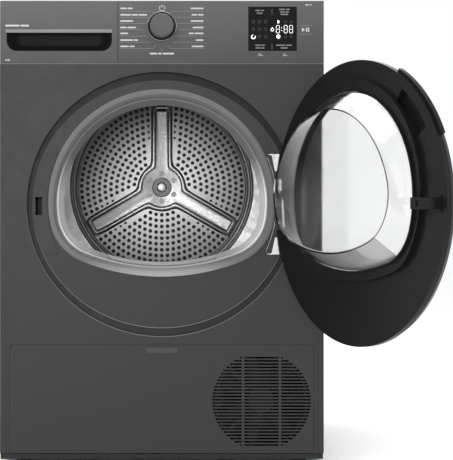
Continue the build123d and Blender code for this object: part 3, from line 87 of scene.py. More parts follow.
# Labels beside the knob: height above its axis, length, and the words' share of it.
LABELS_LEFT, LABELS_RIGHT = -76.7, 77.0
LEFT_ROWS = ((33.0, 23.0, (4, 3)), (21.2, 49.8, (5, 3, 4)), (9.8, 24.0, (5,)), (-2.2, 29.5, (3, 4)),
             (-13.0, 14.7, (3,)), (-25.4, 33.2, (6, 2)), (-37.0, 26.7, (5, 3)))
RIGHT_ROWS = ((33.0, 24.0, (5,)), (21.2, 22.1, (3, 3)), (9.8, 24.0, (5,)), (-2.2, 20.3, (4,)),
              (-13.0, 27.6, (3, 5)), (-25.4, 14.7, (3,)), (-37.0, 22.1, (5,)))
# Lines under them: height above the knob's axis, and where they end beside it.
LINES = ((27.7, 18.2), (16.4, 21.2), (5.2, 29.3), (-6.0, 32.1), (-17.8, 29.3), (-29.3, 21.7), (-40.9, 15.8))
# First and last lines bend towards the knob: height, start and the bend's far height.
BENDS = ((27.7, 18.2, 23.4), (-40.9, 15.8, -35.5))
BEND_END = 11.4

# Marks in the display: from the window's left edge, and below its top edge.
DIGITS = (54.7, 69.1, 79.0)
DISPLAY_ROWS = (27.9, 41.5, 55.1)
LIT_MARKS_ROW = 55.5
WINDOW_WORDS = ((21.0, ((7.0, 16.6), (12.0, 11.1))), (66.7, ((5.0, 20.3), (9.8, 16.6), (14.2, 14.7))),
                (21.7, ((71.0, 18.4), (76.1, 16.6))), (66.0, ((71.0, 29.5), (76.1, 12.9))))
TWO_WORDS = 15.0                          # longer marks are split in two

# Inside of the mouth: its grey level at each height, in metres, as painted light and shade, darkest at the
# top.
THROAT_PAINTED_LIGHT = ((0.34, 150), (0.385, 165), (0.41, 212), (0.50, 212), (0.57, 118))
THROAT_FROM, THROAT_TO = 0.3, 0.6

# ---- camera -------------------------------------------------------------------------
CAMERA_AWAY = 2.7                         # in front of the cabinet's face, in metres
CAMERA_HIGH = 0.4635
FACE_WIDE = 0.8476                        # how much of the face's plane the long side takes in
SHIFT_X, SHIFT_Y = 0.14065, -0.03696      # lens shift, in shares of the long side


# ---- node helpers ---------------------------------------------------------------
class Nodes:
    """A material's node tree, with short calls for what the materials below share."""

    def __init__(self, name):
        self.material = bpy.data.materials.new(name)
        self.material.use_nodes = True
        self.tree = self.material.node_tree
        self.shader = self.tree.nodes["Principled BSDF"]
        self.place = self.add("ShaderNodeTexCoord").outputs["Object"]

    def add(self, kind, **settings):
        node = self.tree.nodes.new(kind)
        for key, value in settings.items():
            setattr(node, key, value)
        return node

    def link(self, source, target):
        self.tree.links.new(source, target)

    def scaled(self, scale):
        """Object coordinates, scaled differently along each axis."""
        mapping = self.add("ShaderNodeMapping")
        mapping.inputs["Scale"].default_value = scale
        self.link(self.place, mapping.inputs["Vector"])
        return mapping.outputs["Vector"]

    def noise(self, scale, detail=4.0, stretch=None):
        node = self.add("ShaderNodeTexNoise")
        node.inputs["Scale"].default_value = scale
        node.inputs["Detail"].default_value = detail
        self.link(self.scaled(stretch) if stretch else self.place, node.inputs["Vector"])
        return node.outputs["Fac"]

    def ramp(self, value, stops):
        """A colour ramp of (position, colour or grey) stops."""
        node = self.add("ShaderNodeValToRGB")
        elements = node.color_ramp.elements
        while len(elements) < len(stops):
            elements.new(0.5)
        for element, (position, colour) in zip(elements, stops):
            if not hasattr(colour, "__len__"):
                colour = (colour, colour, colour)
            element.position = position
            element.color = (*colour, 1)
        self.link(value, node.inputs["Fac"])
        return node.outputs["Color"]

    def span(self, value, low, high, to_low=0.0, to_high=1.0):
        node = self.add("ShaderNodeMapRange")
        for key, number in (("From Min", low), ("From Max", high), ("To Min", to_low), ("To Max", to_high)):
            node.inputs[key].default_value = number
        self.link(value, node.inputs["Value"])
        return node.outputs["Result"]

    def axis(self, name):
        node = self.add("ShaderNodeSeparateXYZ")
        self.link(self.place, node.inputs[0])
        return node.outputs[name]

    def mix(self, factor, a, b, kind="MIX"):
        node = self.add("ShaderNodeMix", data_type="RGBA", blend_type=kind)
        for value, socket in ((factor, node.inputs[0]), (a, node.inputs[6]), (b, node.inputs[7])):
            if hasattr(value, "links") or hasattr(value, "is_linked"):
                self.link(value, socket)
            elif hasattr(value, "__len__"):
                socket.default_value = (*value, 1)
            else:
                socket.default_value = value
        return node.outputs[2]

    def set(self, **values):
        for key, value in values.items():
            socket = self.shader.inputs[key.replace("_", " ")]
            if hasattr(value, "is_linked"):
                self.link(value, socket)
            elif hasattr(value, "__len__") and len(value) == 3:
                socket.default_value = (*value, 1)
            else:
                socket.default_value = value

    def bump(self, height, strength, distance):
        node = self.add("ShaderNodeBump")
        node.inputs["Strength"].default_value = strength
        node.inputs["Distance"].default_value = distance
        self.link(height, node.inputs["Height"])
        self.link(node.outputs["Normal"], self.shader.inputs["Normal"])


def grey(level):
    """Linear value of an 8-bit grey."""
    level /= 255
    return level / 12.92 if level <= 0.04045 else ((level + 0.055) / 1.055) ** 2.4


def tinted(level, warmth=0.0):
    value = grey(level)
    return (value * (1 + warmth), value, value * (1 - warmth))


def plastic(name, level, rough=0.42, grain=900.0, depth=0.00006, shine=0.25):
    """Moulded plastic: fine grain, with slightly uneven colour and gloss."""
    n = Nodes(name)
    cloud = n.noise(9.0, 3.0)
    base = tinted(level)
    dark = tuple(channel * 0.9 for channel in base)
    light = tuple(min(1.0, channel * 1.1) for channel in base)
    n.set(Base_Color=n.ramp(cloud, ((0.3, dark), (0.7, light))))
    speck = n.noise(grain, 2.0)
    n.set(Roughness=n.span(speck, 0.3, 0.7, rough - 0.06, rough + 0.06))
    n.set(Specular_IOR_Level=shine)
    n.bump(speck, 0.35, depth)
    return n.material


def painted(name, level, rough=0.38, band=None, groove=None):
    """Sprayed sheet steel: a slight orange peel and dust-fine flake.

    band and groove are (z0, z1, level0, level1): band shades the whole sheet by its height, and
    groove paints shade only on what is sunk behind the cabinet's face, darker towards the top.
    """
    n = Nodes(name)
    peel = n.noise(260.0, 2.0)
    flake = n.noise(2600.0, 1.0)
    base = tinted(level)
    spread = n.ramp(flake, ((0.35, tuple(c * 0.93 for c in base)), (0.65, tuple(c * 1.07 for c in base))))
    if band:
        z0, z1, low, high = band
        shade = n.span(n.axis("Z"), z0, z1)
        tone = n.ramp(shade, ((0.0, grey(low) / grey(level)), (1.0, grey(high) / grey(level))))
        spread = n.mix(1.0, spread, tone, "MULTIPLY")
    # groove: painted shade on what is sunk into the door's groove, set by height
    if groove:
        z0, z1, low, high = groove
        floor = n.ramp(n.span(n.axis("Z"), z0, z1), ((0.0, grey(low)), (1.0, grey(high))))
        spread = n.mix(n.span(n.axis("Y"), FRONT + 0.0008, FRONT + 0.002), spread, floor)
    n.set(Base_Color=spread)
    n.set(Roughness=n.span(n.noise(40.0, 4.0), 0.3, 0.7, rough - 0.04, rough + 0.05))
    n.set(Specular_IOR_Level=0.2)
    n.bump(peel, 0.12, 0.00008)
    return n.material


def metal(name, level, rough, stretch=(1, 1, 1), scale=300.0, depth=0.00005, tint=(1, 1, 1), aniso=0.0,
          radial_shade=None):
    """Bare metal with fine lines along the stretched direction.

    The radial shade argument (r0, r1, near, far) paints shade that darkens it outwards from the drum's axis.
    """
    n = Nodes(name)
    lines = n.noise(scale, 3.0, stretch)
    cloud = n.noise(14.0, 4.0)
    base = [grey(level) * channel for channel in tint]
    colour = n.ramp(cloud, ((0.3, [c * 0.9 for c in base]), (0.7, [min(1, c * 1.08) for c in base])))
    # painted shade: darker away from the drum's axis
    if radial_shade:
        r0, r1, near, far = radial_shade
        mapping = n.add("ShaderNodeMapping")
        mapping.inputs["Scale"].default_value = (1, 0, 1)
        mapping.inputs["Location"].default_value = (0, 0, -DRUM_Z)
        n.link(n.place, mapping.inputs["Vector"])
        away = n.add("ShaderNodeVectorMath", operation="LENGTH")
        n.link(mapping.outputs["Vector"], away.inputs[0])
        tone = n.ramp(n.span(away.outputs["Value"], r0, r1), ((0.0, near), (1.0, far)))
        colour = n.mix(1.0, colour, tone, "MULTIPLY")
    n.set(Base_Color=colour, Metallic=1.0)
    n.set(Roughness=n.span(lines, 0.3, 0.7, max(0.04, rough - 0.08), rough + 0.08))
    if aniso:
        n.set(Anisotropic=aniso)
    n.bump(lines, 0.25, depth)
    return n.material


def ring_plastic_painted_light(name, level, low_level):
    """The loading ring's grey plastic, with painted light: lighter at its foot and lightest inside its
    throat.
    """
    n = Nodes(name)
    speck = n.noise(900.0, 2.0)
    # painted light: the ring's foot is lighter
    foot = n.span(n.axis("Z"), RING_LOW[2] + 0.03, RING_LOW[2])
    face = n.mix(foot, tinted(level), tinted(low_level))
    # painted light and shade inside the throat, set by height
    inside = n.span(n.axis("Y"), FRONT + 0.003, FRONT + 0.012)
    stops = [((z - THROAT_FROM) / (THROAT_TO - THROAT_FROM), grey(tone)) for z, tone in THROAT_PAINTED_LIGHT]
    colour = n.mix(inside, face, n.ramp(n.span(n.axis("Z"), THROAT_FROM, THROAT_TO), stops))
    n.set(Base_Color=n.mix(1.0, colour, n.ramp(n.noise(9.0, 3.0), ((0.3, 0.94), (0.7, 1.0))), "MULTIPLY"))
    n.set(Roughness=n.span(speck, 0.3, 0.7, 0.38, 0.5), Specular_IOR_Level=0.25)
    n.bump(speck, 0.35, 0.00006)
    return n.material


def clear_plastic(name, rough=0.03, tint=(0.975, 0.98, 0.98)):
    n = Nodes(name)
    flow = n.noise(22.0, 2.0)
    n.set(Base_Color=n.ramp(flow, ((0.2, tint), (0.8, (0.99, 0.995, 0.995)))))
    n.set(Roughness=n.span(n.noise(60.0, 3.0), 0.3, 0.8, rough, rough + 0.05))
    n.set(Transmission_Weight=1.0, IOR=1.46)
    n.bump(flow, 0.03, 0.0002)
    return n.material


def tinted_glass(name, level):
    """Dark printed glass, glossy, with a faint unevenness in the print behind it."""
    n = Nodes(name)
    cloud = n.noise(30.0, 2.0)
    base = tinted(level)
    n.set(Base_Color=n.ramp(cloud, ((0.3, base), (0.7, tuple(c * 1.3 for c in base)))))
    n.set(Roughness=n.span(n.noise(80.0, 3.0), 0.3, 0.8, 0.05, 0.11), Specular_IOR_Level=0.12)
    return n.material


def felt(name, level):
    n = Nodes(name)
    fibre = n.noise(1500.0, 6.0)
    base = tinted(level, 0.03)
    dark = tuple(c * 0.6 for c in base)
    light = tuple(c * 1.3 for c in base)
    n.set(Base_Color=n.ramp(fibre, ((0.3, dark), (0.7, light))))
    n.set(Roughness=n.span(fibre, 0.0, 1.0, 0.85, 0.98), Sheen_Weight=0.4)
    n.bump(fibre, 0.8, 0.0006)
    return n.material


def rubber(name, level):
    n = Nodes(name)
    speck = n.noise(700.0, 3.0)
    base = tinted(level)
    dark = tuple(c * 0.85 for c in base)
    light = tuple(c * 1.15 for c in base)
    n.set(Base_Color=n.ramp(speck, ((0.3, dark), (0.7, light))))
    n.set(Roughness=n.span(speck, 0.3, 0.7, 0.6, 0.78))
    n.bump(speck, 0.5, 0.0004)
    return n.material


def printed(name, level, glow=0.0):
    """White or grey print on the control panel, a little uneven at the edges of its ink."""
    n = Nodes(name)
    ink = n.noise(1800.0, 2.0)
    base = tinted(level)
    n.set(Base_Color=n.ramp(ink, ((0.2, tuple(c * 0.86 for c in base)), (0.6, base))))
    n.set(Roughness=n.span(ink, 0.3, 0.7, 0.4, 0.55))
    if glow:
        n.set(Emission_Color=base, Emission_Strength=glow)
    return n.material


def circuit(name):
    n = Nodes(name)
    grid = n.add("ShaderNodeTexBrick")
    grid.inputs["Scale"].default_value = 90.0
    for key, colour in (("Color1", (0.012, 0.09, 0.035)), ("Color2", (0.018, 0.12, 0.05)),
                        ("Mortar", (0.10, 0.22, 0.09))):
        grid.inputs[key].default_value = (*colour, 1)
    n.link(n.scaled((1, 0.01, 1)), grid.inputs["Vector"])
    n.set(Base_Color=grid.outputs["Color"], Roughness=n.span(n.noise(200.0), 0.3, 0.7, 0.3, 0.5))
    n.bump(grid.outputs["Fac"], 0.2, 0.0002)
    return n.material


def fins(name):
    n = Nodes(name)
    wave = n.add("ShaderNodeTexWave", wave_type="BANDS", bands_direction="X")
    wave.inputs["Scale"].default_value = 150.0
    n.link(n.place, wave.inputs["Vector"])
    n.set(Base_Color=n.ramp(wave.outputs["Fac"], ((0.0, grey(120)), (1.0, grey(205)))), Metallic=1.0)
    n.set(Roughness=n.span(n.noise(60.0), 0.3, 0.7, 0.3, 0.5))
    n.bump(wave.outputs["Fac"], 0.5, 0.0006)
    return n.material


MATERIALS = {
    "anthracite_paint": painted("anthracite_paint", 45, 0.42),
    # front panel paint, with painted shade in the door's groove that darkens towards its top
    "panel_paint_groove_shade": painted("panel_paint_groove_shade", 45, 0.42, groove=(RIM_LOW[2], RIM_HIGH[2], 42, 12)),
    # ring plastic with painted light at its foot and in its throat
    "ring_grey_painted_light": ring_plastic_painted_light("ring_grey_painted_light", 92, 146),
    # drum back steel with painted shade, darker away from the axis
    "drilled_steel_radial_shade": metal("drilled_steel_radial_shade", 168, 0.36, (1, 0.02, 1), 500.0, radial_shade=(0.06, 0.19, 0.95, 0.42)),
    "anthracite_plastic": painted("anthracite_plastic", 70, 0.38, (BAND_LOW[2], BAND_HIGH[2], 60, 80)),
    "black_plastic": plastic("black_plastic", 28, 0.5),
    "dark_plastic": plastic("dark_plastic", 20, 0.3, shine=0.16),
    "mid_grey_plastic": plastic("mid_grey_plastic", 88, 0.42),
    "light_grey_plastic": plastic("light_grey_plastic", 196, 0.4),
    "white_plastic": plastic("white_plastic", 222, 0.45),
    "smoked_glass": tinted_glass("smoked_glass", 14),
    "clear_plastic": clear_plastic("clear_plastic"),
    "stainless_steel": metal("stainless_steel", 168, 0.36, (1, 0.02, 1), 500.0, aniso=0.4),
    "galvanised_steel": metal("galvanised_steel", 168, 0.48, (1, 1, 1), 60.0),
    "chrome": metal("chrome", 225, 0.14, (1, 1, 6), 900.0, 0.00002),
    "rubber": rubber("rubber", 34),
    "felt": felt("felt", 120),
    "circuit_board": circuit("circuit_board"),
    "aluminium_fins": fins("aluminium_fins"),
    "copper": metal("copper", 200, 0.3, (1, 1, 1), 200.0, tint=(1.0, 0.52, 0.34)),
    "black_enamel": painted("black_enamel", 34, 0.3),
    "mesh_screen": felt("mesh_screen", 96),
}

# ---- CAD nodes: materials and softened edges --------------------------------------
SLOT_OF = {part["node"]: part["material_slot"] for part in frame["record"]["subparts"]}
SEEN_THROUGH = {
    "door_outer_glass": "clear_plastic", "latch_cover": "anthracite_paint", "front_panel": "panel_paint_groove_shade",
    "front_bulkhead": "ring_grey_painted_light", "drum_back": "drilled_steel_radial_shade", "lint_filter_frame": "light_grey_plastic",
}
SOFT_EDGES = {
    "front_panel": 0.0006, "control_panel": 0.0008, "tank_front": 0.0012, "worktop": 0.0006,
    "kick_flap": 0.0005, "flap_button": 0.0005, "latch_cover": 0.0006, "base_tray": 0.0008,
    "door_outer_ring": 0.0008, "door_latch_tongue": 0.0006, "hinge_bracket": 0.0005,
    "program_knob": 0.0008, "knob_ring": 0.0006, "rear_duct_cover": 0.0008, "feet": 0.0008,
    "left_side_panel": 0.0004, "right_side_panel": 0.0004, "display_window": 0.0003,
}


def soften(obj, width):
    """Rounds a CAD node's sharp edges, which its own mesh keeps."""
    bevel = obj.modifiers.new("soft_edges", "BEVEL")
    bevel.width = width
    bevel.segments = 2
    bevel.limit_method = "ANGLE"
    bevel.angle_limit = math.radians(35)
    bevel.harden_normals = True


for node, obj in frame["nodes"].items():
    if not obj.material_slots:
        obj.data.materials.append(None)
    for place in obj.material_slots:
        place.material = MATERIALS[SEEN_THROUGH.get(node, SLOT_OF[node])]
    if node in SOFT_EDGES:
        soften(obj, SOFT_EDGES[node])


# ---- piece helpers ------------------------------------------------------------------
PRINTS = {
    "ink": printed("ink", 174),
    "dim_ink": printed("dim_ink", 104),
    "lit": printed("lit", 245, 0.6),
    "unlit": printed("unlit", 42),
    # dark marks: real print on the knob's pointer, and painted shade in the arm's slots and the panel's gaps
    "dark_mark_and_shade": rubber("dark_mark_and_shade", 16),
}
# satin steel with painted shade, darker away from the drum's axis
SATIN_RADIAL_SHADE = metal("satin_steel_radial_shade", 176, 0.34, (1, 1, 1), 220.0, 0.00003, radial_shade=(0.05, 0.18, 0.95, 0.4))
PALE_STEEL = metal("pale_steel", 224, 0.5, (1, 1, 1), 120.0, 0.00002)
# painted shade for the groove round the hub
HUB_GROOVE_SHADE = metal("hub_groove_shade", 96, 0.4, (1, 1, 1), 300.0, 0.00002)
KNOB_SILVER = metal("knob_silver", 150, 0.3, (1, 1, 1), 600.0, 0.00001)
# painted highlight on the groove's lower lips
LIP_HIGHLIGHT = painted("lip_painted_highlight", 96, 0.35)
LEDGE_SATIN = painted("ledge_satin", 112, 0.35)
# dark sheet standing in for shadow behind the drum's back plate
SHADOW_SHEET = rubber("painted_shadow_sheet", 20)
# painted shade in the drawer's finger recess
RECESS_SHADE = plastic("recess_painted_shade", 22, 0.5, shine=0.1)


def make(name, verts, faces, body, slot, material=None, sharp=32):
    """A piece in millimetres, shaded smooth up to the sharp angle."""
    mesh = bpy.data.meshes.new(name)
    mesh.from_pydata([Vector(v) * MM for v in verts], [], faces)
    work = bmesh.new()
    work.from_mesh(mesh)
    bmesh.ops.recalc_face_normals(work, faces=work.faces)
    work.to_mesh(mesh)
    work.free()
    mesh.polygons.foreach_set("use_smooth", [True] * len(mesh.polygons))
    mesh.set_sharp_from_angle(angle=math.radians(sharp))
    mesh.materials.append(material or MATERIALS[slot])
    obj = bpy.data.objects.new(name, mesh)
    bpy.context.scene.collection.objects.link(obj)
    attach(obj, body)
    return obj


def ringed(levels, z, count, closed=True):
    """Verts and faces lofted through rings about a front-to-back axis at height z.

    levels are (radius, depth) in millimetres; a radius may be a function of the angle.
    """
    verts = []
    faces = []
    for radius, depth in levels:
        for step in range(count):
            angle = 2 * math.pi * step / count
            r = radius(angle) if callable(radius) else radius
            verts.append((r * math.cos(angle), FRONT / MM + depth, z + r * math.sin(angle)))
    rows = len(levels) if closed else len(levels) - 1
    for row in range(rows):
        a = row * count
        b = (row + 1) % len(levels) * count
        for step in range(count):
            after = (step + 1) % count
            faces.append((a + step, a + after, b + after, b + step))
    return verts, faces


def plates(name, outlines, face, thick, body, slot, material, sink=0.05):
    """Thin raised plates: front-view outlines (x, z) that stand out of a plane at depth face."""
    verts = []
    faces = []
    y0 = FRONT / MM + face + sink
    y1 = FRONT / MM + face - thick
    for outline in outlines:
        first = len(verts)
        size = len(outline)
        for y in (y0, y1):
            verts += [(x, y, z) for x, z in outline]
        faces.append(tuple(range(first + size, first + 2 * size)))
        for step in range(size):
            after = (step + 1) % size
            faces.append((first + step, first + after, first + size + after, first + size + step))
    return make(name, verts, faces, body, slot, material, sharp=20)


def dash(x0, x1, z, high):
    """Bar with round ends, from x0 to x1."""
    r = high / 2
    outline = []
    for centre, start in ((x1 - r, -90), (x0 + r, 90)):
        for step in range(7):
            angle = math.radians(start + 30 * step)
            outline.append((centre + r * math.cos(angle), z + r * math.sin(angle)))
    return outline


def stroke(x0, z0, x1, z1, wide):
    """Straight stroke between two points, with pointed ends."""
    length = math.hypot(x1 - x0, z1 - z0)
    ux = (x1 - x0) / length * wide / 2
    uz = (z1 - z0) / length * wide / 2
    return [(x0 - ux, z0 - uz), (x0 + uz, z0 - ux), (x1 + uz, z1 - ux), (x1 + ux, z1 + uz),
            (x1 - uz, z1 + ux), (x0 - uz, z0 + ux)]


def hoop(x, z, r, wide, start=0.0, sweep=360.0):
    """Short strokes that run round a circle."""
    count = max(8, int(sweep / 18))
    marks = []
    for step in range(count):
        a = math.radians(start + sweep * step / count)
        b = math.radians(start + sweep * (step + 1) / count)
        inner, outer = r - wide / 2, r + wide / 2
        marks.append([(x + inner * math.cos(a), z + inner * math.sin(a)),
                      (x + outer * math.cos(a), z + outer * math.sin(a)),
                      (x + outer * math.cos(b), z + outer * math.sin(b)),
                      (x + inner * math.cos(b), z + inner * math.sin(b))])
    return marks


def words(x0, x1, z, high, parts):
    """A label without letters: a row of dashes."""
    gap = high * 0.45
    length = (x1 - x0 - gap * (len(parts) - 1)) / sum(parts)
    marks = []
    x = x0
    for part in parts:
        marks.append(dash(x, x + part * length, z, high))
        x += part * length + gap
    return marks


# ---- drum: spider, rings and hub ----------------------------------------------------

def star(half, end, hub):
    """Three-armed outline as a radius by angle, with softened corners."""
    def radius(angle):
        turn = min(abs((math.degrees(angle) - arm + 180) % 360 - 180) for arm in ARMS)
        lean = math.radians(turn)
        side = half / max(math.sin(lean), 1e-4)
        tip = end / max(math.cos(lean), 0.05)
        arm = (side ** -16 + tip ** -16) ** (-1 / 16)
        return (arm ** 9 + hub ** 9) ** (1 / 9)
    return radius


def spider():
    """Pressed three-armed spider with its channel and hub."""
    levels = [
        (star(23.4, 181.0, 53.0), 0.1), (star(22.2, 179.6, 51.8), -1.2), (star(21.0, 178.0, 50.6), -4.6),
        (star(20.2, 176.8, 49.8), -5.3), (star(17.0, 173.6, 46.4), -5.5), (star(14.6, 171.0, 44.0), -5.2),
        (star(13.0, 169.2, 42.4), -3.6), (star(11.8, 168.0, 41.2), -3.2), (22.4, -3.2), (21.4, -2.9),
        (20.6, -0.6), (12.0, -0.5), (11.2, -3.2), (10.4, -4.2), (8.4, -4.9), (3.0, -5.2), (0.05, -5.2),
    ]
    levels = [(radius, DISC_FACE + depth) for radius, depth in levels]
    verts, faces = ringed(levels, DRUM_MID, 720, closed=False)
    # the spider's steel carries painted shade, darker out along the arms
    make("drum_spider", verts, faces, "drum", "stainless_steel", SATIN_RADIAL_SHADE, sharp=50)


def spider_studs():
    """Six dimpled studs, and the seat round the hub darkened as painted shade."""
    verts = []
    faces = []
    for step in range(6):
        angle = math.radians(30 + 60 * step)
        x = STUDS_R * math.cos(angle)
        z = DRUM_MID + STUDS_R * math.sin(angle)
        first = len(verts)
        shape = ((6.2, -3.1), (5.9, -3.7), (5.0, -3.9), (4.4, -3.5), (3.6, -3.5), (2.6, -4.2), (0.05, -4.4))
        for r, depth in shape:
            for turn in range(24):
                a = 2 * math.pi * turn / 24
                verts.append((x + r * math.cos(a), FRONT / MM + DISC_FACE + depth, z + r * math.sin(a)))
        for row in range(len(shape) - 1):
            for turn in range(24):
                after = (turn + 1) % 24
                a = first + row * 24
                faces.append((a + turn, a + after, a + 24 + after, a + 24 + turn))
    make("drum_spider_studs", verts, faces, "drum", "stainless_steel", PALE_STEEL)
    # seat round the hub, darkened as painted shade
    seat = [(21.0, -2.6), (20.4, -1.3), (19.6, -0.8), (13.4, -0.8), (12.6, -1.5)]
    verts, faces = ringed([(r, DISC_FACE + d) for r, d in seat], DRUM_MID, 96, closed=False)
    make("drum_hub_seat_shade", verts, faces, "drum", "stainless_steel", HUB_GROOVE_SHADE)


def drum_rings():
    """Rolled beads round the back plate, and the dished wall outside them."""
    levels = [(180.6, 0.05), (182.2, -0.5), (183.4, -2.0), (184.6, -2.4), (185.8, -2.0), (187.4, -0.6),
              (190.4, -0.4), (192.6, -1.2), (194.0, -3.2), (195.4, -3.8), (197.0, -3.4), (198.6, -2.2),
              (201.0, -1.9)]
    verts, faces = ringed([(r, DISC_FACE + d) for r, d in levels], DRUM_MID, 256, closed=False)
    # the beads' steel carries painted shade, darker away from the axis
    make("drum_rear_rings", verts, faces, "drum", "stainless_steel", SATIN_RADIAL_SHADE, sharp=60)
    dish = [(200.0, -2.0), (206.0, -2.6), (230.0, -4.0), (262.0, -8.0), (278.0, -16.0), (283.6, -30.0),
            (284.4, -44.0)]
    verts, faces = ringed([(r, DISC_FACE + d) for r, d in dish], DRUM_MID, 256, closed=False)
    make("drum_rear_dish", verts, faces, "drum", "stainless_steel", PALE_STEEL, sharp=60)


def drum_shadow():
    """Dark sheet behind the drilled plate that stands in for shadow, so that its holes read as holes."""
    levels = [(54.0, 2.2), (56.0, 1.9), (110.0, 1.9), (112.0, 2.3), (114.0, 1.9), (176.0, 1.9), (179.0, 2.4)]
    verts, faces = ringed([(r, DISC_FACE + d) for r, d in levels], DRUM_MID, 192, closed=False)
    make("drum_rear_shadow_sheet", verts, faces, "drum", "black_plastic", SHADOW_SHEET, sharp=60)


def arm_slots():
    """Two slots in the tip of the upper arm, shown as dark plates of painted shade."""
    marks = []
    for r in (167.0, 177.0):
        z = DRUM_MID + r
        marks.append(dash(-10.4, 10.4, z, 5.6))
    # dark plates as painted shade in the slots
    plates("arm_slots", marks, DISC_FACE - 5.4, 0.4, "drum", "rubber", PRINTS["dark_mark_and_shade"], sink=2.2)


# ---- loading ring -------------------------------------------------------------------
def arch(r, z, bottom, low_r, corner):
    """Loading-mouth outline as a radius by angle about the point MOUTH_MID."""
    low_z = bottom + low_r
    spread = (low_r - corner) ** 2 - (r - corner) ** 2
    corner_z = (low_z ** 2 - z ** 2 - spread) / (2 * (low_z - z))
    corner_x = math.sqrt((r - corner) ** 2 - (corner_z - z) ** 2)
    upper = math.atan2(corner_z - z, corner_x)
    lower = math.atan2(corner_z - low_z, corner_x)
    points = []
    for step in range(401):
        angle = upper + (math.pi - 2 * upper) * step / 400
        points.append((r * math.cos(angle), z + r * math.sin(angle)))
    for step in range(1, 81):
        angle = upper + (lower - upper) * step / 81
        x = corner_x + corner * math.cos(angle)
        points.append((x, corner_z + corner * math.sin(angle)))
        points.append((-x, corner_z + corner * math.sin(angle)))
    for step in range(201):
        angle = -math.pi - lower + (math.pi + 2 * lower) * step / 200
        points.append((low_r * math.cos(angle), low_z + low_r * math.sin(angle)))
    table = sorted((math.atan2(pz - MOUTH_MID, px) % (2 * math.pi), math.hypot(px, pz - MOUTH_MID))
                   for px, pz in points)
    table = [(table[-1][0] - 2 * math.pi, table[-1][1])] + table + [(table[0][0] + 2 * math.pi, table[0][1])]

    def radius(angle):
        low, high = 0, len(table) - 1
        while high - low > 1:
            middle = (low + high) // 2
            if table[middle][0] <= angle:
                low = middle
            else:
                high = middle
        a, ra = table[low]
        b, rb = table[high]
        return ra + (rb - ra) * (angle - a) / max(b - a, 1e-9)
    return radius


def mouth(inset):
    """The ring's outer outline, drawn in by an inset."""
    return arch(MOUTH_HALF - inset, MOUTH_TOP - MOUTH_HALF, MOUTH_LOW + inset, 400.0 - inset, 98.0 - inset)


def loading_ring():
    """Moulded ring round the mouth, with its stepped throat."""
    profile = [(0.0, -0.1), (0.1, -1.4), (0.7, -2.0), (1.6, -2.2), (9.4, -2.2), (10.3, -1.9), (10.8, -1.2),
               (11.1, 0.6), (11.9, 1.4), (13.0, 1.5), (13.7, 2.1), (14.2, 4.0), (16.4, 15.0), (17.2, 15.6),
               (18.0, 16.4), (19.7, 36.0), (17.5, 36.0), (11.6, 6.0), (10.0, 0.0)]
    levels = [(mouth(inset), depth) for inset, depth in profile]
    verts, faces = ringed(levels, MOUTH_MID, 320)
    ring_grey_painted_light = MATERIALS["ring_grey_painted_light"]
    ring = make("loading_ring_moulding", verts, faces, "cabinet", "mid_grey_plastic", ring_grey_painted_light, sharp=40)
    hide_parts("loading_ring")


def mouth_vents():
    """Two rows of raised dashes on the floor of the mouth."""
    verts = []
    faces = []
    for inset0, depth0, inset1, depth1 in ((18.27, 19.5, 18.66, 24.0), (18.92, 27.0, 19.31, 31.5)):
        edges = ((mouth(inset0), depth0), (mouth(inset1), depth1))
        for step in range(44):
            first = len(verts)
            for lift in (-0.1, 0.5):
                for turn, (radius, depth) in ((0, edges[0]), (1, edges[0]), (1, edges[1]), (0, edges[1])):
                    angle = math.radians(222.0 + 2.2 * step + 1.4 * turn)
                    r = radius(angle) - lift
                    verts.append((r * math.cos(angle), FRONT / MM + depth, MOUTH_MID + r * math.sin(angle)))
            faces.append((first, first + 1, first + 2, first + 3))
            faces.append((first + 4, first + 5, first + 6, first + 7))
            for side in range(4):
                after = (side + 1) % 4
                faces.append((first + side, first + after, first + 4 + after, first + 4 + side))
    make("mouth_vents", verts, faces, "cabinet", "mid_grey_plastic", MATERIALS["mid_grey_plastic"], sharp=20)


def groove_lip_highlights():
    """Painted highlights on the door groove's rolled edges, widest at the bottom."""
    outlines = []
    for wide, high in (GROOVE_OUTER, GROOVE_INNER):
        outer = []
        inner = []
        for step in range(121):
            angle = math.radians(184.0 + 172.0 * step / 120)
            # painted highlight, widest where the lip faces up
            lip = 1.3 * max(0.06, -math.sin(angle))
            outer.append(((wide + 0.1) * math.cos(angle), DOOR_MID + (high + 0.1) * math.sin(angle)))
            inner.append(((wide - lip) * math.cos(angle), DOOR_MID + (high - lip) * math.sin(angle)))
        outlines += [[outer[i], outer[i + 1], inner[i + 1], inner[i]] for i in range(120)]
    plates("groove_lip_highlights", outlines, 0.0, 0.1, "cabinet", "anthracite_plastic", LIP_HIGHLIGHT)


# ---- knob and panel print -----------------------------------------------------------
def knob_dish():
    """Bright dish round the knob, and its pointer."""
    levels = [(22.4, -0.6), (27.1, -0.6), (27.5, -2.6), (27.2, -3.8), (26.5, -4.2), (25.7, -4.0),
              (24.7, -3.0), (23.7, -2.0), (22.9, -1.5)]
    verts, faces = ringed(levels, KNOB_MID, 96)
    dish = make("knob_dish", verts, faces, "knob", "anthracite_plastic", KNOB_SILVER, sharp=40)
    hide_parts("knob_ring")
    pointer = [dash(-1.2, 1.2, KNOB_MID + 25.6, 2.4), stroke(0, KNOB_MID + 23.4, 0, KNOB_MID + 25.4, 2.2)]
    plates("knob_pointer", pointer, -4.3, 0.3, "knob", "rubber", PRINTS["dark_mark_and_shade"], sink=2.6)


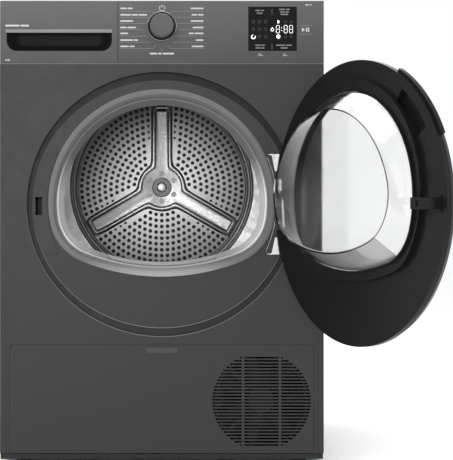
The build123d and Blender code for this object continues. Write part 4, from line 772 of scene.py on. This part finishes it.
def panel_print():
    """Labels, icons and lines printed round the knob and the keys."""
    ink = []
    for up, length, parts in LEFT_ROWS:
        ink += words(LABELS_LEFT, LABELS_LEFT + length, KNOB_MID + up, 2.6, parts)
    for up, length, parts in RIGHT_ROWS:
        ink += words(LABELS_RIGHT - length, LABELS_RIGHT, KNOB_MID + up, 2.6, parts)
    ink += words(-22.3, 22.8, KNOB_MID - 50.3, 3.0, (4, 2, 6))
    x, z = 0.4, KNOB_MID + 33.4
    ink += hoop(x, z, 5.0, 1.2, 120, 300)
    ink.append(stroke(x, z + 1.4, x, z + 6.0, 1.2))
    ink += words(264.6, 276.4, KNOB_MID + 39.5, 2.6, (2, 1, 1))
    x, z = 260.5, KNOB_MID - 6.2
    ink.append([(x - 2.4, z - 4.2), (x + 3.2, z), (x - 2.4, z + 4.2)])
    for left in (x + 5.2, x + 8.8):
        ink.append([(left, z - 4.0), (left + 2.2, z - 4.0), (left + 2.2, z + 4.0), (left, z + 4.0)])
    for x in (181.7, 227.0):
        z = KNOB_MID - 52.5
        ink += hoop(x - 1.2, z, 1.9, 0.9)
        ink.append(dash(x + 1.8, x + 4.4, z - 1.4, 1.2))
    drawer_print()
    plates("panel_print", ink, 0.0, 0.18, "cabinet", "white_plastic", PRINTS["ink"])
    panel_lines()


def drawer_print():
    """Two rows of dashes on the drawer's front, which slide out with it."""
    left, top = TANK_LOW[0] / MM + 9.6, TANK_HIGH[2] / MM
    marks = words(left, left + 44.2, top - 46.2, 3.2, (5, 3))
    marks += words(left, left + 8.3, top - 109.7, 2.6, (2, 3))
    plates("drawer_print", marks, 0.0, 0.18, "tank", "white_plastic", PRINTS["ink"])


def panel_lines():
    dim = []
    for up, end in LINES:
        z = KNOB_MID + up
        dim.append(stroke(LABELS_LEFT, z, -end, z, 0.8))
        dim.append(stroke(end, z, LABELS_RIGHT, z, 0.8))
    for up, start, to in BENDS:
        for side in (-1, 1):
            dim.append(stroke(side * start, KNOB_MID + up, side * BEND_END, KNOB_MID + to, 0.8))
    dim.append(stroke(0, KNOB_MID - 41.6, 0, KNOB_MID - 45.8, 1.0))
    for up in (1.9, -14.5):
        dim.append(stroke(254.1, KNOB_MID + up, 276.8, KNOB_MID + up, 0.9))
    plates("panel_lines", dim, 0.0, 0.14, "cabinet", "light_grey_plastic", PRINTS["dim_ink"])


def in_window(right, down):
    """Place from the display window's upper left corner."""
    return WINDOW_LOW[0] / MM + right, WINDOW_HIGH[2] / MM - down


def digit(x, z):
    """All seven strokes of one figure."""
    marks = [stroke(x + side * 3.0, z + level * 1.0, x + side * 3.0, z + level * 6.0, 0.75)
             for side in (-1, 1) for level in (-1, 1)]
    return marks + [stroke(x - 2.4, z + level * 6.9, x + 2.4, z + level * 6.9, 0.75) for level in (-1, 0, 1)]


def display():
    """Lit figures and icons, grey words, and the marks that are off."""
    face = 0.1
    upper, middle, lower = DISPLAY_ROWS
    lit = []
    for right in DIGITS:
        lit += digit(*in_window(right, middle))
    x, z = in_window(61.9, middle)
    lit += [dash(x - 0.7, x + 0.7, z + level * 2.6, 1.4) for level in (-1, 1)]
    x, z = in_window(55.6, upper)
    flag = [(-1.8, -2.6), (1.0, -2.6), (2.2, 0), (1.0, 2.6), (-1.8, 2.6)]
    lit.append([(x + right, z + up) for right, up in flag])
    x, z = in_window(44.4, 41.9)
    lit += hoop(x, z - 0.6, 2.6, 0.9)
    lit.append(dash(x - 1.0, x + 1.0, z + 3.2, 1.4))
    x, z = in_window(55.6, lower)
    lit += hoop(x, z, 3.3, 0.9)
    lit.append(stroke(x - 2.0, z - 2.0, x + 2.0, z + 2.0, 0.8))
    lit.append(stroke(x - 2.0, z + 2.0, x + 2.0, z - 2.0, 0.8))
    x, z = in_window(9.6, LIT_MARKS_ROW)
    lit += hoop(x, z, 3.6, 1.4, 100, 290)
    lit.append(dash(x - 3.8, x + 0.4, z - 2.6, 1.8))
    plates("display_lit", lit, face, 0.1, "cabinet", "white_plastic", PRINTS["lit"])
    grey_marks = []
    for right, rows in WINDOW_WORDS:
        for down, length in rows:
            x, z = in_window(right, down)
            parts = (3, 2) if length > TWO_WORDS else (1,)
            grey_marks += words(x - length / 2, x + length / 2, z, 2.2, parts)
    for top, bottom in ((4.7, 14.6), (68.8, 78.7)):
        x, z0 = in_window(43.9, top)
        grey_marks.append(stroke(x, z0, x, z0 + top - bottom, 0.6))
    plates("display_words", grey_marks, face, 0.1, "cabinet", "light_grey_plastic", PRINTS["dim_ink"])
    off = [(9.6, upper), (9.6, middle)] + [(right, down) for right in (20.8, 32.2) for down in DISPLAY_ROWS]
    faint = []
    for place in off:
        faint += hoop(*in_window(*place), 2.4, 0.8)
    for right in (68.9, 79.2):
        for down in (upper, LIT_MARKS_ROW):
            faint += hoop(*in_window(right, down), 2.0, 0.8)
    plates("display_unlit", faint, face, 0.08, "cabinet", "dark_plastic", PRINTS["unlit"])


# ---- drawer, hinge cover and seams ----------------------------------------------------
def recess_outline(inset, low_round):
    """Drawer recess seen from the front: square top corners, rounded lower ones."""
    x0, x1 = RECESS_X[0] + inset, RECESS_X[1] - inset
    low = RECESS_Z[0] + inset * 0.55
    high = RECESS_Z[1] - 0.3
    r = low_round
    points = [(x0, high)]
    for step in range(13):
        angle = math.radians(180 + 7.5 * step)
        points.append((x0 + r + r * math.cos(angle), low + r + r * math.sin(angle)))
    for step in range(13):
        angle = math.radians(270 + 7.5 * step)
        points.append((x1 - r + r * math.cos(angle), low + r + r * math.sin(angle)))
    points.append((x1, high))
    for step in range(1, 24):
        points.append((x1 + (x0 - x1) * step / 24, high))
    return points


def drawer_recess():
    """Lining of the finger recess, darkened as painted shade, and the bright bar over it."""
    verts = []
    faces = []
    rows = ((0.0, 19.0, 0.2), (0.3, 19.0, 1.6), (5.0, 18.0, 9.0), (14.0, 15.0, 20.0), (18.0, 12.0, 23.6),
            (24.0, 8.0, 24.6))
    for inset, low_round, depth in rows:
        verts += [(x, FRONT / MM + depth, z) for x, z in recess_outline(inset, low_round)]
    size = len(verts) // len(rows)
    for row in range(len(rows) - 1):
        for step in range(size):
            after = (step + 1) % size
            a = row * size
            faces.append((a + step, a + after, a + size + after, a + size + step))
    faces.append(tuple(range((len(rows) - 1) * size, len(rows) * size)))
    # recess lining darkened as painted shade
    make("drawer_recess_lining", verts, faces, "tank", "anthracite_plastic", RECESS_SHADE, sharp=60)
    x0, x1 = RECESS_X[0] - 1.8, RECESS_X[1] + 0.2
    z0 = RECESS_Z[1] + 0.5
    z1 = z0 + LEDGE_TRIM
    bar = [(x0, z0), (x1, z0), (x1 + 0.2, z0 + 0.3), (x1 + 0.2, z1 - 0.3), (x1, z1), (x0, z1),
           (x0 - 0.2, z1 - 0.3), (x0 - 0.2, z0 + 0.3)]
    plates("drawer_ledge_trim", [bar], -1.0, 0.3, "tank", "anthracite_plastic", LEDGE_SATIN)


def hinge_cover():
    """Painted cover over the hinge's plate, between the loading ring and the door's groove."""
    outer = []
    inner = []
    wide, high = HINGE_COVER_OVAL
    for step in range(41):
        up = HINGE_COVER_HALF * (step / 20 - 1)
        outer.append((wide * math.sqrt(1 - (up / high) ** 2), DOOR_MID + up))
        reach = DOOR_MID + up - (MOUTH_TOP - MOUTH_HALF)
        inner.append((math.sqrt((MOUTH_HALF + 2.0) ** 2 - reach ** 2), DOOR_MID + up))
    outline = outer + inner[::-1]
    plates("hinge_cover", [outline], -1.0, 0.3, "cabinet", "anthracite_paint", MATERIALS["anthracite_paint"])


def panel_seams():
    """Painted shadow in the gaps round the kick flap and beside the drawer, and the bright lip under the
    panel.
    """
    def patch(x0, x1, z0, z1):
        return [(x0, z0), (x1, z0), (x1, z1), (x0, z1)]

    left, right = FLAP_LOW[0] / MM, FLAP_HIGH[0] / MM
    low, high = FLAP_LOW[2] / MM, FLAP_HIGH[2] / MM
    gaps = [patch(left - SEAM, right + SEAM, high + 0.1, high + SEAM)]
    gaps.append(patch(left - SEAM, left - 0.1, low, high + 0.1))
    gaps.append(patch(right + 0.1, right + SEAM, low, high + 0.1))
    drawer = TANK_HIGH[0] / MM
    gaps.append(patch(drawer + 0.1, drawer + DRAWER_SEAM, TANK_LOW[2] / MM + 1.0, TANK_HIGH[2] / MM - 1.0))
    # dark strips as painted shadow in the gaps
    plates("panel_gaps", gaps, 0.0, 0.12, "cabinet", "rubber", PRINTS["dark_mark_and_shade"])
    lip = BAND_LOW[2] / MM
    plates("panel_lip", [patch(PANEL_LOW[0] / MM + 1.0, PANEL_HIGH[0] / MM - 1.0, lip - 1.5, lip - 0.6)],
           0.0, 0.12, "cabinet", "anthracite_plastic", LEDGE_SATIN)


drawer_recess()
hinge_cover()
spider()
spider_studs()
drum_rings()
drum_shadow()
arm_slots()
panel_seams()
loading_ring()
mouth_vents()
groove_lip_highlights()
knob_dish()
panel_print()
display()


# ---- stage, light and camera ------------------------------------------------------
def stage_floor():
    mesh = bpy.data.meshes.new("floor")
    reach = 40.0
    mesh.from_pydata([(-reach, -reach, 0), (reach, -reach, 0), (reach, reach, 0), (-reach, reach, 0)],
                     [], [(0, 1, 2, 3)])
    floor = bpy.data.objects.new("floor", mesh)
    bpy.context.scene.collection.objects.link(floor)
    n = Nodes("pale_floor")
    n.set(Base_Color=n.ramp(n.noise(3.0), ((0.3, 0.93), (0.7, 0.96))), Roughness=0.8)
    mesh.materials.append(n.material)


def soft_light(name, place, size, power, aim=(0, 0, 0.45)):
    data = bpy.data.lights.new(name, "AREA")
    data.size = size
    data.energy = power
    lamp = bpy.data.objects.new(name, data)
    lamp.location = place
    lamp.rotation_euler = (Vector(aim) - Vector(place)).to_track_quat("-Z", "Y").to_euler()
    bpy.context.scene.collection.objects.link(lamp)


def studio():
    world = bpy.data.worlds.new("studio")
    bpy.context.scene.world = world
    world.use_nodes = True
    tree = world.node_tree
    background = tree.nodes["Background"]
    background.inputs["Color"].default_value = (1, 1, 1, 1)
    background.inputs["Strength"].default_value = 1.0
    soft_light("key", (-1.9, -2.6, 2.3), 2.2, 26)
    soft_light("fill", (2.4, -2.4, 1.5), 2.2, 12)
    soft_light("overhead", (0, -0.4, 3.0), 2.4, 30)
    soft_light("drum_fill", (-0.5, -3.4, 0.95), 1.2, 26, (0, 0.2, 0.52))
    soft_light("rear", (0.6, 3.0, 2.0), 2.2, 20)
    bpy.context.scene.view_settings.view_transform = "Standard"


def front_camera():
    data = bpy.data.cameras.new("camera")
    data.sensor_width = 36
    data.lens = 36 * CAMERA_AWAY / FACE_WIDE
    data.shift_x = SHIFT_X
    data.shift_y = SHIFT_Y
    camera = bpy.data.objects.new("camera", data)
    camera.location = (0, FRONT - CAMERA_AWAY, CAMERA_HIGH)
    camera.rotation_euler = (math.radians(90), 0, 0)
    bpy.context.scene.collection.objects.link(camera)
    bpy.context.scene.camera = camera


stage_floor()
studio()
front_camera()
